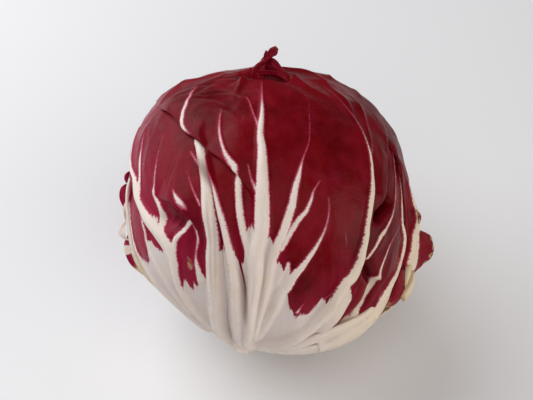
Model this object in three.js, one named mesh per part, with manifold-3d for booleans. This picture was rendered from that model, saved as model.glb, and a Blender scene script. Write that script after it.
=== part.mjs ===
// A head of round red radicchio, cut from its root and lying on its lower flank.
// It comes apart as it grew: a short stem, a bud, nested inner leaves, wrapper leaves that lap over each
// other like shingles, and the snapped remains of two outer leaves.
// Units are millimetres and +Z is up. The origin is the middle of the flat spot that the head rests on.
import * as THREE from "three";
import { mergeVertices } from "three/addons/utils/BufferGeometryUtils.js";
import Module from "manifold-3d";

const wasm = await Module();
wasm.setup();

const { clamp, degToRad, lerp, radToDeg, smoothstep } = THREE.MathUtils;

// ---- Driving dimensions ----
const CORE_RADIUS = 48.5; // what the innermost wrapper leaf lies on
const ROOT_RECESS = 0.3; // every layer draws in by this share at the stem, where thick leaf bases stack up
const ROOT_RECESS_ANGLE = 50; // and over this angle from the stem
const FLAT_FLANK = { azimuth: -75, polar: 46, spread: 40, share: 0.24 }; // the lower left grew less full
const LEAN = degToRad(35); // the head's axis leans back from the vertical
const ROLL = degToRad(5); // and to the left
const FLAT_DEPTH = 1.5; // the underside leaf is pressed flat to this depth
const LEAF_GAP = 0.7; // between two leaves that lie on each other
const STEM = { radius: 12.5, innerRadius: 5.5, cut: -57.5, inner: -16, clearance: 0.5, sides: 24 };
const BUD = { radius: 10, height: 12.5 };
const BLADE = { base: 1.8, tip: 1.0 }; // thickness of a leaf between its ribs
const MIDRIB = { height: 1.6, halfWidth: 6 };
const INNER = { count: 10, first: 16, step: 3.3, halfWidth: 70, top: 160 };
const TIP = { length: 11, width: 5, thickness: 1.8, twist: 130, tilt: 30, sink: 0.7 }; // withered leaf tip
const GOLDEN_ANGLE = 137.5; // each leaf grows this far round the stem from the one before

// ---- One leaf ----
// A leaf is laid out on directions from the middle of the head. "along" runs 0 to 1 from the stem to the
// tip and "across" runs -1 to 1 from margin to margin. Angles are in degrees: azimuth is measured round the
// axis from the front (-Y) towards +X, and polar angles are measured from the stem.
class Leaf {
  constructor(spec) {
    const usual = {
      halfWidth: 58, base: 13, baseShare: 0.17, tipShare: 0.6, top: 165, tipRound: 0.09,
      midrib: 0, rows: 12, columns: 10, least: CORE_RADIUS, flare: 0, ragged: 0,
    };
    Object.assign(this, usual, spec);
    const azimuth = degToRad(this.azimuth);
    this.outward = new THREE.Vector3(Math.sin(azimuth), -Math.cos(azimuth), 0);
    this.sideways = new THREE.Vector3(Math.cos(azimuth), Math.sin(azimuth), 0);
  }

  halfAngle(along) {
    const widening = lerp(this.baseShare, 1, smoothstep(along, 0, 0.5));
    const rounding = lerp(1, this.tipShare, smoothstep(along, 0.62, 1));
    return this.halfWidth * widening * rounding;
  }

  polarRange(across) {
    const teeth = this.ragged * Math.sin(across * 7 + this.azimuth) * Math.cos(across * 4);
    return [this.base, this.top * (1 - this.tipRound * across * across) + teeth];
  }

  direction(along, across) {
    const [base, top] = this.polarRange(across);
    const polar = degToRad(lerp(base, top, along));
    const turn = degToRad(across * this.halfAngle(along));
    return this.outward.clone().multiplyScalar(Math.sin(polar) * Math.cos(turn))
      .addScaledVector(this.sideways, Math.sin(turn))
      .add(new THREE.Vector3(0, 0, -Math.cos(polar) * Math.cos(turn)));
  }

  // The inverse of direction(). It settles in a few rounds, as along and across depend weakly on each other.
  locate(direction) {
    const turn = radToDeg(Math.asin(direction.dot(this.sideways)));
    let polar = radToDeg(Math.atan2(direction.dot(this.outward), -direction.z));
    if (polar < -90) polar += 360; // a leaf may run over the crown and down the far side
    let along = 0.5;
    let across = 0;
    for (let round = 0; round < 5; round++) {
      across = turn / this.halfAngle(clamp(along, 0, 1));
      const [base, top] = this.polarRange(clamp(across, -1, 1));
      along = (polar - base) / (top - base);
    }
    return { along, across };
  }

  thickness(along, across) {
    const blade = lerp(BLADE.base, BLADE.tip, smoothstep(along, 0, 0.55));
    const offMidrib = degToRad((across - this.midrib) * this.halfAngle(along)) * CORE_RADIUS;
    const midrib = MIDRIB.height * (1 - along) * Math.exp(-((offMidrib / MIDRIB.halfWidth) ** 2));
    return blade + midrib;
  }

  // How far the leaf stands off the head where it has peeled away.
  peel(along) {
    return this.flare * smoothstep(along, 0.35, 1);
  }

  // The radius of the outer face in a direction, or 0 where the leaf doesn't reach.
  outerRadius(direction) {
    const { along, across } = this.locate(direction);
    const margin = 0.06;
    if (along < -margin || along > 1 + margin || Math.abs(across) > 1 + margin) return 0;
    const row = clamp(along, 0, 1) * this.rows;
    const column = ((clamp(across, -1, 1) + 1) / 2) * this.columns;
    const i = Math.min(Math.floor(row), this.rows - 1);
    const j = Math.min(Math.floor(column), this.columns - 1);
    const corners = [this.outer[i][j], this.outer[i][j + 1], this.outer[i + 1][j], this.outer[i + 1][j + 1]];
    return Math.max(...corners);
  }
}

// A table of values at the corners of a leaf's grid.
function overGrid(leaf, value) {
  return Array.from({ length: leaf.rows + 1 }, (_, i) =>
    Array.from({ length: leaf.columns + 1 }, (_, j) => value(i, j)));
}

// The lowest radius at which a leaf's inner face clears all that lies under it, at one corner of its grid.
function clearRadius(leaf, below, i, j) {
  const samples = [-1, -0.5, 0, 0.5, 1];
  let radius = 0;
  for (const di of samples)
    for (const dj of samples) {
      const along = clamp((i + di) / leaf.rows, 0, 1);
      const across = clamp((2 * (j + dj)) / leaf.columns - 1, -1, 1);
      const direction = leaf.direction(along, across);
      for (const other of below) radius = Math.max(radius, other.outerRadius(direction) + LEAF_GAP);
    }
  return radius;
}

// A unit vector, from an azimuth and a polar angle in degrees.
function towards(azimuth, polar) {
  const drop = degToRad(polar);
  return new THREE.Vector3(0, -Math.sin(drop), -Math.cos(drop))
    .applyAxisAngle(new THREE.Vector3(0, 0, 1), degToRad(azimuth));
}

const STEMWARD = towards(0, 0);
const CROWNWARD = towards(0, 180);
const FLANKWARD = towards(FLAT_FLANK.azimuth, FLAT_FLANK.polar);

// A bell curve: 1 straight along the centre direction, and fading over an angle in degrees.
function fading(direction, centre, spread) {
  const angle = radToDeg(direction.angleTo(centre));
  return Math.exp(-((angle / spread) ** 2));
}

// The share of its radius that a layer keeps in a direction: less towards the stem and on the flat flank.
function fullness(direction) {
  const recess = ROOT_RECESS * fading(direction, STEMWARD, ROOT_RECESS_ANGLE);
  return 1 - recess - FLAT_FLANK.share * fading(direction, FLANKWARD, FLAT_FLANK.spread);
}

// Lays a leaf over all that is already there, as taut as it can be.
function drape(leaf, below) {
  const floor = overGrid(leaf, (i, j) => {
    const direction = leaf.direction(i / leaf.rows, (2 * j) / leaf.columns - 1);
    return Math.max(leaf.least * fullness(direction), clearRadius(leaf, below, i, j));
  });
  let radius = floor;
  for (let round = 0; round < 10; round++) {
    const last = radius;
    const at = (i, j) => last[clamp(i, 0, leaf.rows)][clamp(j, 0, leaf.columns)];
    radius = overGrid(leaf, (i, j) =>
      Math.max(floor[i][j], (at(i - 1, j) + at(i + 1, j) + at(i, j - 1) + at(i, j + 1)) / 4));
  }
  leaf.inner = overGrid(leaf, (i, j) => radius[i][j] + leaf.peel(i / leaf.rows));
  leaf.outer = overGrid(leaf, (i, j) =>
    leaf.inner[i][j] + leaf.thickness(i / leaf.rows, (2 * j) / leaf.columns - 1));
}

// Where the leaf base meets the stem: the polar angle at which its inner face clears the stem's side.
function setBase(leaf, radius) {
  const clear = stemRadius(-radius * 0.97) + STEM.clearance;
  leaf.base = radToDeg(Math.asin(clear / radius));
}

function stemRadius(level) {
  const share = (level - STEM.inner) / (STEM.cut - STEM.inner);
  return lerp(STEM.innerRadius, STEM.radius, clamp(share, 0, 1));
}

// ---- Solids ----

// Closes a leaf's outer and inner faces with a rim all round.
function leafGeometry(leaf) {
  const width = leaf.columns + 1;
  const perFace = width * (leaf.rows + 1);
  const positions = [];
  for (const face of [leaf.outer, leaf.inner])
    face.forEach((row, i) => row.forEach((radius, j) => {
      const direction = leaf.direction(i / leaf.rows, (2 * j) / leaf.columns - 1);
      positions.push(...direction.multiplyScalar(radius).toArray());
    }));
  const triangles = [];
  const quad = (a, b, c, d) => triangles.push(a, b, c, a, c, d);
  for (let i = 0; i < leaf.rows; i++)
    for (let j = 0; j < leaf.columns; j++) {
      const a = i * width + j;
      quad(a, a + 1, a + width + 1, a + width);
      quad(perFace + a + width, perFace + a + width + 1, perFace + a + 1, perFace + a);
    }
  const rim = [];
  for (let j = 0; j < leaf.columns; j++) rim.push(j);
  for (let i = 0; i < leaf.rows; i++) rim.push(i * width + leaf.columns);
  for (let j = leaf.columns; j > 0; j--) rim.push(leaf.rows * width + j);
  for (let i = leaf.rows; i > 0; i--) rim.push(i * width);
  rim.forEach((a, k) => {
    const b = rim[(k + 1) % rim.length];
    quad(b, a, perFace + a, perFace + b);
  });
  const geometry = new THREE.BufferGeometry();
  geometry.setAttribute("position", new THREE.Float32BufferAttribute(positions, 3));
  geometry.setIndex(triangles);
  return geometry;
}

function toManifold(geometry) {
  const bare = geometry.clone();
  bare.deleteAttribute("normal");
  bare.deleteAttribute("uv");
  const merged = mergeVertices(bare);
  return new wasm.Manifold(new wasm.Mesh({
    numProp: 3,
    vertProperties: merged.attributes.position.array,
    triVerts: new Uint32Array(merged.index.array),
  }));
}

function toGeometry(solid) {
  const mesh = solid.getMesh();
  const geometry = new THREE.BufferGeometry();
  geometry.setAttribute("position", new THREE.BufferAttribute(new Float32Array(mesh.vertProperties), 3));
  geometry.setIndex(new THREE.BufferAttribute(new Uint32Array(mesh.triVerts), 1));
  return geometry;
}

// A withered leaf tip: a short twisted strip that stands up out of the crown, from a radius upwards.
function twistedTip(radius) {
  const steps = 9;
  const strip = new THREE.BoxGeometry(TIP.width, TIP.thickness, TIP.length, 1, 1, steps);
  const points = strip.attributes.position;
  for (let k = 0; k < points.count; k++) {
    const share = points.getZ(k) / TIP.length + 0.5;
    const taper = lerp(1.4, 0.5, smoothstep(share, 0, 0.7));
    const bend = Math.tan(degToRad(TIP.tilt)) * TIP.length * share * share;
    const corner = new THREE.Vector2(points.getX(k) * taper, points.getY(k));
    corner.rotateAround(new THREE.Vector2(), degToRad(TIP.twist) * share);
    points.setXY(k, corner.x + bend, corner.y);
  }
  return toManifold(strip.translate(0, 0, radius - TIP.sink + TIP.length / 2));
}

function stemGeometry() {
  const profile = [
    new THREE.Vector2(0, STEM.cut),
    new THREE.Vector2(STEM.radius, STEM.cut),
    new THREE.Vector2(STEM.innerRadius, STEM.inner),
    new THREE.Vector2(0, STEM.inner),
  ];
  return new THREE.LatheGeometry(profile, STEM.sides).rotateX(Math.PI / 2);
}

function budGeometry() {
  return new THREE.SphereGeometry(1, 14, 10).scale(BUD.radius, BUD.height, BUD.radius).rotateX(Math.PI / 2);
}

// ---- Materials ----
const material = (color, roughness) => new THREE.MeshStandardMaterial({ color, roughness, metalness: 0 });
const RED_BLADE = material(0x7a1525, 0.42);
const INNER_BLADE = material(0x9c2a42, 0.5);
const CUT_STEM = material(0xc9b594, 0.8);

// ---- The leaves, from the bud outwards ----
const innerLeaves = Array.from({ length: INNER.count }, (_, k) => new Leaf({
  name: `inner_leaf_${k + 1}`,
  azimuth: k * GOLDEN_ANGLE,
  halfWidth: INNER.halfWidth,
  top: INNER.top,
  least: INNER.first + k * INNER.step,
  baseShare: 0.3,
  rows: 8,
  columns: 8,
}));

const wrapperLeaves = [
  { name: "wrapper_leaf_1", azimuth: 75, top: 156 },
  { name: "wrapper_leaf_2", azimuth: -148, top: 160 },
  { name: "wrapper_leaf_3", azimuth: -62, top: 158 },
  { name: "wrapper_leaf_4", azimuth: 162, top: 162 },
  { name: "wrapper_leaf_5", azimuth: 12, top: 156 },
  { name: "wrapper_leaf_6", azimuth: -106, top: 160 },
  { name: "wrapper_leaf_7", azimuth: 126, top: 164 },
  { name: "far_left_leaf", azimuth: -98, top: 162, halfWidth: 50 },
  { name: "right_leaf", azimuth: 98, top: 170, halfWidth: 52 },
  { name: "back_left_leaf", azimuth: -136, top: 174 },
  { name: "back_right_leaf", azimuth: 134, top: 168 },
  { name: "underside_leaf", azimuth: 180, top: 186, halfWidth: 58 },
  { name: "left_leaf", azimuth: -64, top: 166, halfWidth: 52, midrib: 0.45, baseShare: 0.28 },
  { name: "front_leaf", azimuth: 22, top: 178, halfWidth: 68, midrib: -0.36, baseShare: 0.28 },
].map((spec) => new Leaf(spec));

const brokenLeaves = [
  {
    name: "broken_leaf_right", azimuth: 86, top: 88, halfWidth: 20, baseShare: 0.4, tipShare: 0.9,
    flare: 6, ragged: 3,
  },
  {
    name: "broken_leaf_left", azimuth: -86, top: 96, halfWidth: 15, baseShare: 0.45, tipShare: 0.9,
    flare: 0.5, ragged: 4,
  },
].map((spec) => new Leaf({ rows: 8, columns: 8, tipRound: 0.05, ...spec }));

const leaves = [...innerLeaves, ...wrapperLeaves, ...brokenLeaves];
leaves.forEach((leaf, k) => {
  const below = leaves.slice(0, k);
  setBase(leaf, leaf.least * (1 - ROOT_RECESS));
  drape(leaf, below);
  setBase(leaf, leaf.inner[0][leaf.columns / 2]); // the stack has lifted it, so it may reach further in
  drape(leaf, below);
});

// ---- The head, leaning back on its flank ----
const head = new THREE.Group();
head.rotation.set(-LEAN, -ROLL, 0);

// Down, as the leaning head sees it.
const upright = head.quaternion.clone().invert();
const down = new THREE.Vector3(0, 0, -1).applyQuaternion(upright);

function lowestReach() {
  let reach = 0;
  for (const leaf of leaves)
    leaf.outer.forEach((row, i) => row.forEach((radius, j) => {
      const direction = leaf.direction(i / leaf.rows, (2 * j) / leaf.columns - 1);
      reach = Math.max(reach, direction.dot(down) * radius);
    }));
  return reach;
}

const restHeight = lowestReach() - FLAT_DEPTH; // the middle of the head stands this far above the surface

// What lies below the surface, as a block that the underside leaf is cut with.
function belowSurface() {
  const side = 200;
  const block = new THREE.BoxGeometry(side, side, side).translate(0, 0, -side / 2 - restHeight);
  return toManifold(block.applyQuaternion(upright));
}

function addPiece(name, geometry, look) {
  const mesh = new THREE.Mesh(geometry, look);
  mesh.name = name;
  head.add(mesh);
}

addPiece("stem", stemGeometry(), CUT_STEM);
addPiece("bud", budGeometry(), INNER_BLADE);
for (const leaf of leaves) {
  let solid = toManifold(leafGeometry(leaf));
  if (leaf.name === "underside_leaf") {
    const crown = leaf.outerRadius(CROWNWARD);
    solid = solid.subtract(belowSurface()).add(twistedTip(crown));
  }
  const look = innerLeaves.includes(leaf) ? INNER_BLADE : RED_BLADE;
  addPiece(leaf.name, toGeometry(solid), look);
}

head.position.z = restHeight;

const radicchio = new THREE.Group();
radicchio.add(head);
export default radicchio;
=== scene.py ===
# %% [markdown]
# # A head of round red radicchio, leaf by leaf
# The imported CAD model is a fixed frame: it says where the head lies, how it leans and how far it reaches.
# This notebook grows the real surface in that frame. Each leaf is a thin closed shell that is draped over
# the leaves under it, with raised ribs, folds and torn margins, and one family of procedural finishes
# paints it from fields that are measured on the mesh.

# %% Load the frame
import math
from dataclasses import dataclass

import bpy
import numpy as np
from mathutils import Matrix, Vector, noise


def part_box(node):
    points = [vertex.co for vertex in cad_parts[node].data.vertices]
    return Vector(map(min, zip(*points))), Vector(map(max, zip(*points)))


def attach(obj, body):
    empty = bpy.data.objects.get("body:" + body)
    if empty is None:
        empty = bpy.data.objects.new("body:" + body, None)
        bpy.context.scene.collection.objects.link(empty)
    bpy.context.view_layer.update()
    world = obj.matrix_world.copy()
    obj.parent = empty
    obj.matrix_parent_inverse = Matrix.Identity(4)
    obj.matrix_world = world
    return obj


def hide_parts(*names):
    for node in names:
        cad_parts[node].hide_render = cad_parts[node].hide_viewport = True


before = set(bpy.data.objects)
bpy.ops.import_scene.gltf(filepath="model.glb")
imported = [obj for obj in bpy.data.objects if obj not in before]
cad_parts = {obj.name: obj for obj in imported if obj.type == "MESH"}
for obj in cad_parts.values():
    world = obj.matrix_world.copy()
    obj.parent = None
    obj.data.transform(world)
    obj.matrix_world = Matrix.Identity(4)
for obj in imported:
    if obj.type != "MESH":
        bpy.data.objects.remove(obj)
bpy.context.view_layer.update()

MM = 0.001  # the head is laid out in millimetres and built in metres


# %% [markdown]
# ## The head's own axes
# The stem and the bud are round, so the middles of their solids lie on the head's axis. Everything after
# this is laid out on directions from the middle of the head: the azimuth runs round the axis, from the
# front to the right, and the polar angle runs from the stem (0) over the flank (90) to the crown (180).

# %% Head axes
def solid_middle(node):
    corners = np.array([v.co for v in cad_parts[node].data.vertices])
    return Vector(corners.mean(axis=0))


bud_low, bud_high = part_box("bud")
HEAD_MIDDLE = (bud_low + bud_high) / 2
crownward = (HEAD_MIDDLE - solid_middle("stem")).normalized()
frontward = Vector((0, -crownward.z, crownward.y)).normalized()
rightward = crownward.cross(frontward)
HEAD_AXES = np.array([rightward, -frontward, crownward])  # rows: the head's x, y and z in the scene
REST_HEIGHT = HEAD_MIDDLE.z / MM  # of the head's middle above the board
print("leans back", round(math.degrees(math.acos(crownward.z)), 1), "degrees, middle at", HEAD_MIDDLE)


def towards(azimuth, polar):
    """Unit vectors in the head's axes, from angles in degrees."""
    azimuth, polar = np.radians(azimuth), np.radians(polar)
    return np.stack([np.sin(azimuth) * np.sin(polar), -np.cos(azimuth) * np.sin(polar),
                     -np.cos(polar) + 0 * azimuth], axis=-1)


def angles_of(directions):
    azimuth = np.degrees(np.arctan2(directions[..., 0], -directions[..., 1]))
    return azimuth, np.degrees(np.arccos(np.clip(-directions[..., 2], -1, 1)))


def to_scene(points):
    """Points in the head's axes and millimetres, as metres in the scene."""
    return points @ HEAD_AXES * MM + np.array(HEAD_MIDDLE)


def smoothstep(value, low, high):
    share = np.clip((value - low) / (high - low), 0, 1)
    return share * share * (3 - 2 * share)


# %% [markdown]
# ## The outline of the whole head
# A radicchio head is a ball that grew unevenly. It could be sculpted, but a plain radius with a few broad
# swells, each one a bell curve, is easier to adjust. All leaves follow it at their own depth.

# %% Outline
PLAIN_RADIUS = 60.5
SWELLS = [  # azimuth, polar angle, spread in degrees, height in mm
    (-108, 138, 26, 5.0), (-90, 95, 24, -2.0), (-72, 50, 32, -5.5), (5, 27, 24, -1.0),
    (65, 38, 26, 5.5), (88, 76, 20, -1.5), (102, 122, 24, 3.5), (150, 160, 18, 1.0), (180, 36, 30, 2.5),
]


def bells(directions, spots, start=0.0):
    """The sum of round bell curves: azimuth, polar angle, spread in degrees, height."""
    total = np.full(directions.shape[:-1], start)
    for azimuth, polar, spread, height in spots:
        angle = np.degrees(np.arccos(np.clip(directions @ towards(azimuth, polar), -1, 1)))
        total += height * np.exp(-(angle / spread) ** 2)
    return total


def outline(directions):
    return bells(directions, SWELLS, PLAIN_RADIUS)


flank = outline(towards(np.arange(-180, 180, 5), 90))
print("the flank's radius runs from", round(flank.min(), 1), "to", round(flank.max(), 1), "mm")

# %% [markdown]
# ## Lines on the head
# Ribs, folds and hollows all follow lines over the leaf. A line is a few directions, made smooth by a
# Catmull-Rom spline. Curve objects could hold them too, but a table is measured for all points at once,
# and what a line does to a point depends on how far away it is, in millimetres.


# %% Lines
def smooth_line(points, steps=5):
    """Catmull-Rom through the rows of points."""
    points = np.array(points, float)
    ends = np.vstack([2 * points[0] - points[1], points, 2 * points[-1] - points[-2]])
    t = np.linspace(0, 1, steps, endpoint=False)[:, None]
    runs = []
    for a, b, c, d in zip(ends, ends[1:], ends[2:], ends[3:]):
        runs.append(0.5 * (2 * b + (c - a) * t + (2 * a - 5 * b + 4 * c - d) * t**2
                           + (3 * b - a - 3 * c + d) * t**3))
    return np.vstack(runs + [points[-1:]])


def spread_along(values, count):
    """A few values, stretched evenly to one for each of the line's points."""
    return np.interp(np.arange(count), np.linspace(0, count - 1, len(values)), values)


class Line:
    """A smooth line over the head, with values that change along it."""

    def __init__(self, points, *values):
        directions = towards(*np.array(points, float).T)
        columns = [spread_along(v, len(points)) for v in values]
        table = smooth_line(np.column_stack([directions] + columns))
        self.points = table[:, :3] / np.linalg.norm(table[:, :3], axis=1)[:, None] * PLAIN_RADIUS
        self.values = np.maximum(table[:, 3:], 0)

    def measure(self, directions):
        """For each direction: the distance in mm, the side (+1 is left of the line), and the values there."""
        place = directions.reshape(-1, 3) * PLAIN_RADIUS
        best = np.full(len(place), np.inf)
        side = np.ones(len(place))
        values = np.zeros((len(place), self.values.shape[1]))
        for k in range(len(self.points) - 1):
            start, run = self.points[k], self.points[k + 1] - self.points[k]
            share = np.clip((place - start) @ run / (run @ run), 0, 1)
            off = place - start - share[:, None] * run
            distance = np.linalg.norm(off, axis=1)
            nearer = distance < best
            best[nearer] = distance[nearer]
            side[nearer] = np.sign(off[nearer] @ np.cross(start, run))
            blend = share[nearer, None]
            values[nearer] = self.values[k] * (1 - blend) + self.values[k + 1] * blend
        shape = directions.shape[:-1]
        return best.reshape(shape), side.reshape(shape), [v.reshape(shape) for v in values.T]


# %% [markdown]
# ## Hollows
# Where leaves gather, the whole stack dips: at the crown, beside the big right-hand rib and under the fold
# of the left leaf. A hollow pushes every leaf in by the same amount, so the leaves can't cut each other.

# %% Hollows
HOLLOWS = [  # line, width in mm, depth in mm
    (Line([(-12, 172), (4, 172.5), (20, 170.5), (50, 166.5)]), 2.6, 8.0),
    (Line([(57, 99.8), (52.5, 97.8), (48.5, 96.2)]), 2.0, 6.5),
    (Line([(40, 79), (45, 71)]), 2.0, 4.0),
    (Line([(46, 70), (42, 60), (36, 54), (28, 46)]), 2.2, 2.4),
    (Line([(-41, 103.5), (-34, 102)]), 3.4, 3.0),
]
BASE_DRAWN_IN = 2.4  # mm, round the stem
BASE_ENDS = (25, 36)  # the polar angles between which that fades


def hollow_depth(directions):
    depth = np.zeros(directions.shape[:-1])
    for line, width, deepest in HOLLOWS:
        distance = line.measure(directions)[0]
        depth = np.maximum(depth, deepest * np.exp(-(distance / width) ** 2))
    _, polar = angles_of(directions)
    return depth + BASE_DRAWN_IN * (1 - smoothstep(polar, *BASE_ENDS))


print(len(HOLLOWS), "hollows, the deepest", max(deepest for _, _, deepest in HOLLOWS), "mm")

# %% [markdown]
# ## A leaf
# A leaf is a grid on the head. Its rows run from the stem to the tip and its columns from margin to margin,
# where a margin is a line of given directions or a plain taper. A flat grid could be bent over the ball
# with modifiers, but a grid of directions keeps each margin and rib exactly where it was set.

# %% Leaf grid
LEAF_BASE = 13.5  # the polar angle where a leaf leaves the stem
MARGIN_SLACK = 0.03  # the leaf carries others a little past its margins


@dataclass
class Leaf:
    name: str
    azimuth: float
    top: float = 165  # the polar angle of the tip
    left: tuple = ()  # the margins as directions; empty makes a plain taper
    right: tuple = ()
    half_width: float = 58  # of the plain taper, in degrees
    base_share: float = 0.25  # of the half width at the stem
    tip_share: float = 0.6  # and at the tip
    tip_round: float = 10
    top_line: tuple = ()  # the tip as (place across, polar angle) instead
    ragged: float = 0
    rows: int = 60
    columns: int = 60
    taut: int = 40  # rounds of pulling the skin tight
    blade: float = 0.55  # thickness in mm
    heel: float = 1.6  # and what is added to it at the stem
    pucker: float = 0.35
    veins: tuple = ()
    folds: tuple = ()
    creases: tuple = ()
    lifts: tuple = ()
    pale_from: tuple = ()  # (azimuth, polar angle) where the white of the base ends
    seams: tuple = ()
    dry: tuple = ()
    # painted shade: lines along which the paint is darkened in place of a crease's shadow
    painted_shades: tuple = ()

    def __post_init__(self):
        turn = math.radians(self.azimuth)
        self.outward = np.array([math.sin(turn), -math.cos(turn), 0])
        self.sideways = np.array([math.cos(turn), math.sin(turn), 0])
        self.margins = [self.margin_line(self.left, -1), self.margin_line(self.right, 1)]

    def margin_line(self, points, side):
        """The margin as a table from the angle along the leaf to the angle sideways."""
        if not points:
            along = np.linspace(0, 220, 45)
            share = (along - LEAF_BASE) / (self.top - LEAF_BASE)
            widening = self.base_share + (1 - self.base_share) * smoothstep(share, 0, 0.5)
            rounding = 1 - (1 - self.tip_share) * smoothstep(share, 0.6, 1)
            return along, side * self.half_width * widening * rounding
        line = smooth_line(towards(*np.array(points, float).T), 4)
        line /= np.linalg.norm(line, axis=1)[:, None]
        along, sideways = self.lay(line)
        order = np.argsort(along)
        return along[order], sideways[order]

    def lay(self, directions):
        """Angles along and across the leaf, in degrees. A leaf may run over the crown."""
        along = np.degrees(np.arctan2(directions @ self.outward, -directions[..., 2]))
        along = np.where(along < -60, along + 360, along)
        return along, np.degrees(np.arcsin(np.clip(directions @ self.sideways, -1, 1)))

    def tip(self, across):
        if self.top_line:
            return np.interp(across, *np.array(self.top_line, float).T)
        start = self.azimuth
        wave = self.ragged * (np.sin(across * 5 + start) + 0.6 * np.sin(across * 13.7 + start * 2)
                              + 0.4 * np.sin(across * 31 + start))
        return self.top - self.tip_round * across**2 + wave

    def grid(self):
        across = np.linspace(-1, 1, self.columns)[None, :] * np.ones((self.rows, 1))
        share = np.linspace(0, 1, self.rows)[:, None] * np.ones((1, self.columns))
        along = LEAF_BASE + (self.tip(across) - LEAF_BASE) * share
        left, right = [np.interp(along, *m) for m in self.margins]
        sideways = np.radians(left + (right - left) * (across + 1) / 2)
        along = np.radians(along)
        return (np.sin(along)[..., None] * np.cos(sideways)[..., None] * self.outward
                + np.sin(sideways)[..., None] * self.sideways
                - (np.cos(along) * np.cos(sideways))[..., None] * np.array([0, 0, 1]))

    def radius_at(self, directions, face="outer"):
        """How far this face of the leaf reaches in each direction, and 0 where the leaf doesn't cover."""
        along, sideways = self.lay(directions)
        left, right = [np.interp(along, *m) for m in self.margins]
        across = 2 * (sideways - left) / np.maximum(right - left, 0.1) - 1
        share = (along - LEAF_BASE) / (self.tip(np.clip(across, -1, 1)) - LEAF_BASE)
        covered = (np.abs(across) < 1 + MARGIN_SLACK) & (share > -MARGIN_SLACK) & (share < 1 + MARGIN_SLACK)
        row = np.clip(share, 0, 1) * (self.rows - 1)
        column = (np.clip(across, -1, 1) + 1) / 2 * (self.columns - 1)
        i = np.minimum(row.astype(int), self.rows - 2)
        j = np.minimum(column.astype(int), self.columns - 2)
        y, x = row - i, column - j
        r = getattr(self, face)
        radius = (r[i, j] * (1 - y) * (1 - x) + r[i + 1, j] * y * (1 - x)
                  + r[i, j + 1] * (1 - y) * x + r[i + 1, j + 1] * y * x)
        return np.where(covered, radius, 0)


# %% [markdown]
# ## Draping
# A leaf lies on the leaves before it like a taut skin. A cloth simulation could lay it, but it takes long
# and its result changes with every setting. Here each grid point is lifted to the mean of its neighbours,
# and never sinks below the stack, until the skin bridges the dips and rests on what stands up.

# %% Draping
LEAF_GAP = 0.2
CORE_RADIUS = 48.0
CORE_RECESS = 14.0  # the stack starts this much deeper at the stem
RECESS_SPREAD = 50  # degrees


def shifted(table, di, dj):
    rows = np.clip(np.arange(table.shape[0]) + di, 0, table.shape[0] - 1)
    columns = np.clip(np.arange(table.shape[1]) + dj, 0, table.shape[1] - 1)
    return table[rows][:, columns]


def around(table):
    return [shifted(table, di, dj) for di in (-1, 0, 1) for dj in (-1, 0, 1)]


def drape(leaf, stack, directions):
    _, polar = angles_of(directions)
    under = CORE_RADIUS - CORE_RECESS * np.exp(-((polar / RECESS_SPREAD) ** 2))
    for other in stack:
        under = np.maximum(under, other.radius_at(directions) + LEAF_GAP)
    under = np.maximum.reduce(around(under))
    radius = under
    for _ in range(leaf.taut):
        beside = shifted(radius, -1, 0) + shifted(radius, 1, 0)
        beside = beside + shifted(radius, 0, -1) + shifted(radius, 0, 1)
        radius = np.maximum(under, beside / 4)
    inside = np.minimum(np.linspace(0, 1, leaf.columns), np.linspace(1, 0, leaf.columns))
    return under + (radius - under) * smoothstep(inside, 0, 0.12)[None, :]


def wavy(directions, size, seed):
    """Smooth noise from -1 to 1 over the head, with features of the given size in mm."""
    points = (directions * PLAIN_RADIUS / size + np.array([seed, 2.7 * seed, -1.3 * seed])).reshape(-1, 3)
    values = [noise.noise(Vector(p)) for p in points]
    return np.array(values).reshape(directions.shape[:-1])


# %% [markdown]
# ## What a leaf carries
# Ribs are raised, and the leaf is white on them and around them. A fold lifts one side of a line and rolls
# its edge over the other. All of it is measured once per grid point: the height of the ribs, how far inside
# the white the point is (negative in the red), and the painted shade that darkens the deepest creases in
# place of their shadow. A painted texture could hold the colours, but a distance keeps its edges sharp at any
# size.

# %% Ribs, folds and colour fields
FAR_IN_RED = -9.0  # mm, the white field before any rib is laid
RIB_FOOT, FOOT_EXTRA = 1.55, 0.5  # a rib's foot is wider than its white by this factor, plus mm
FULL_RIB, TALLEST = 1.6, 1.25  # mm of half width that give the full height, and the most a rib may exceed it
FLAT_AT_STEM = 0.15  # share of a rib's height that is left at the stem
BASE_WAVE, BASE_WAVER = 5, 0.8  # size and depth in mm of the waves along the end of the white base
SEAM_RED = 3  # mm, how far into the red a seam takes the white field
FOLD_CREST, CREST_AT, CREST_SPREAD = 0.38, 0.9, 1.1  # share of the height, and mm from the line
FOLD_FOOT, FOOT_AT, FOOT_SPREAD = 0.3, 0.9, 0.8
GENTLE_RUN_UP = 2  # mm, a fold that rises over more than this isn't rolled over


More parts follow.
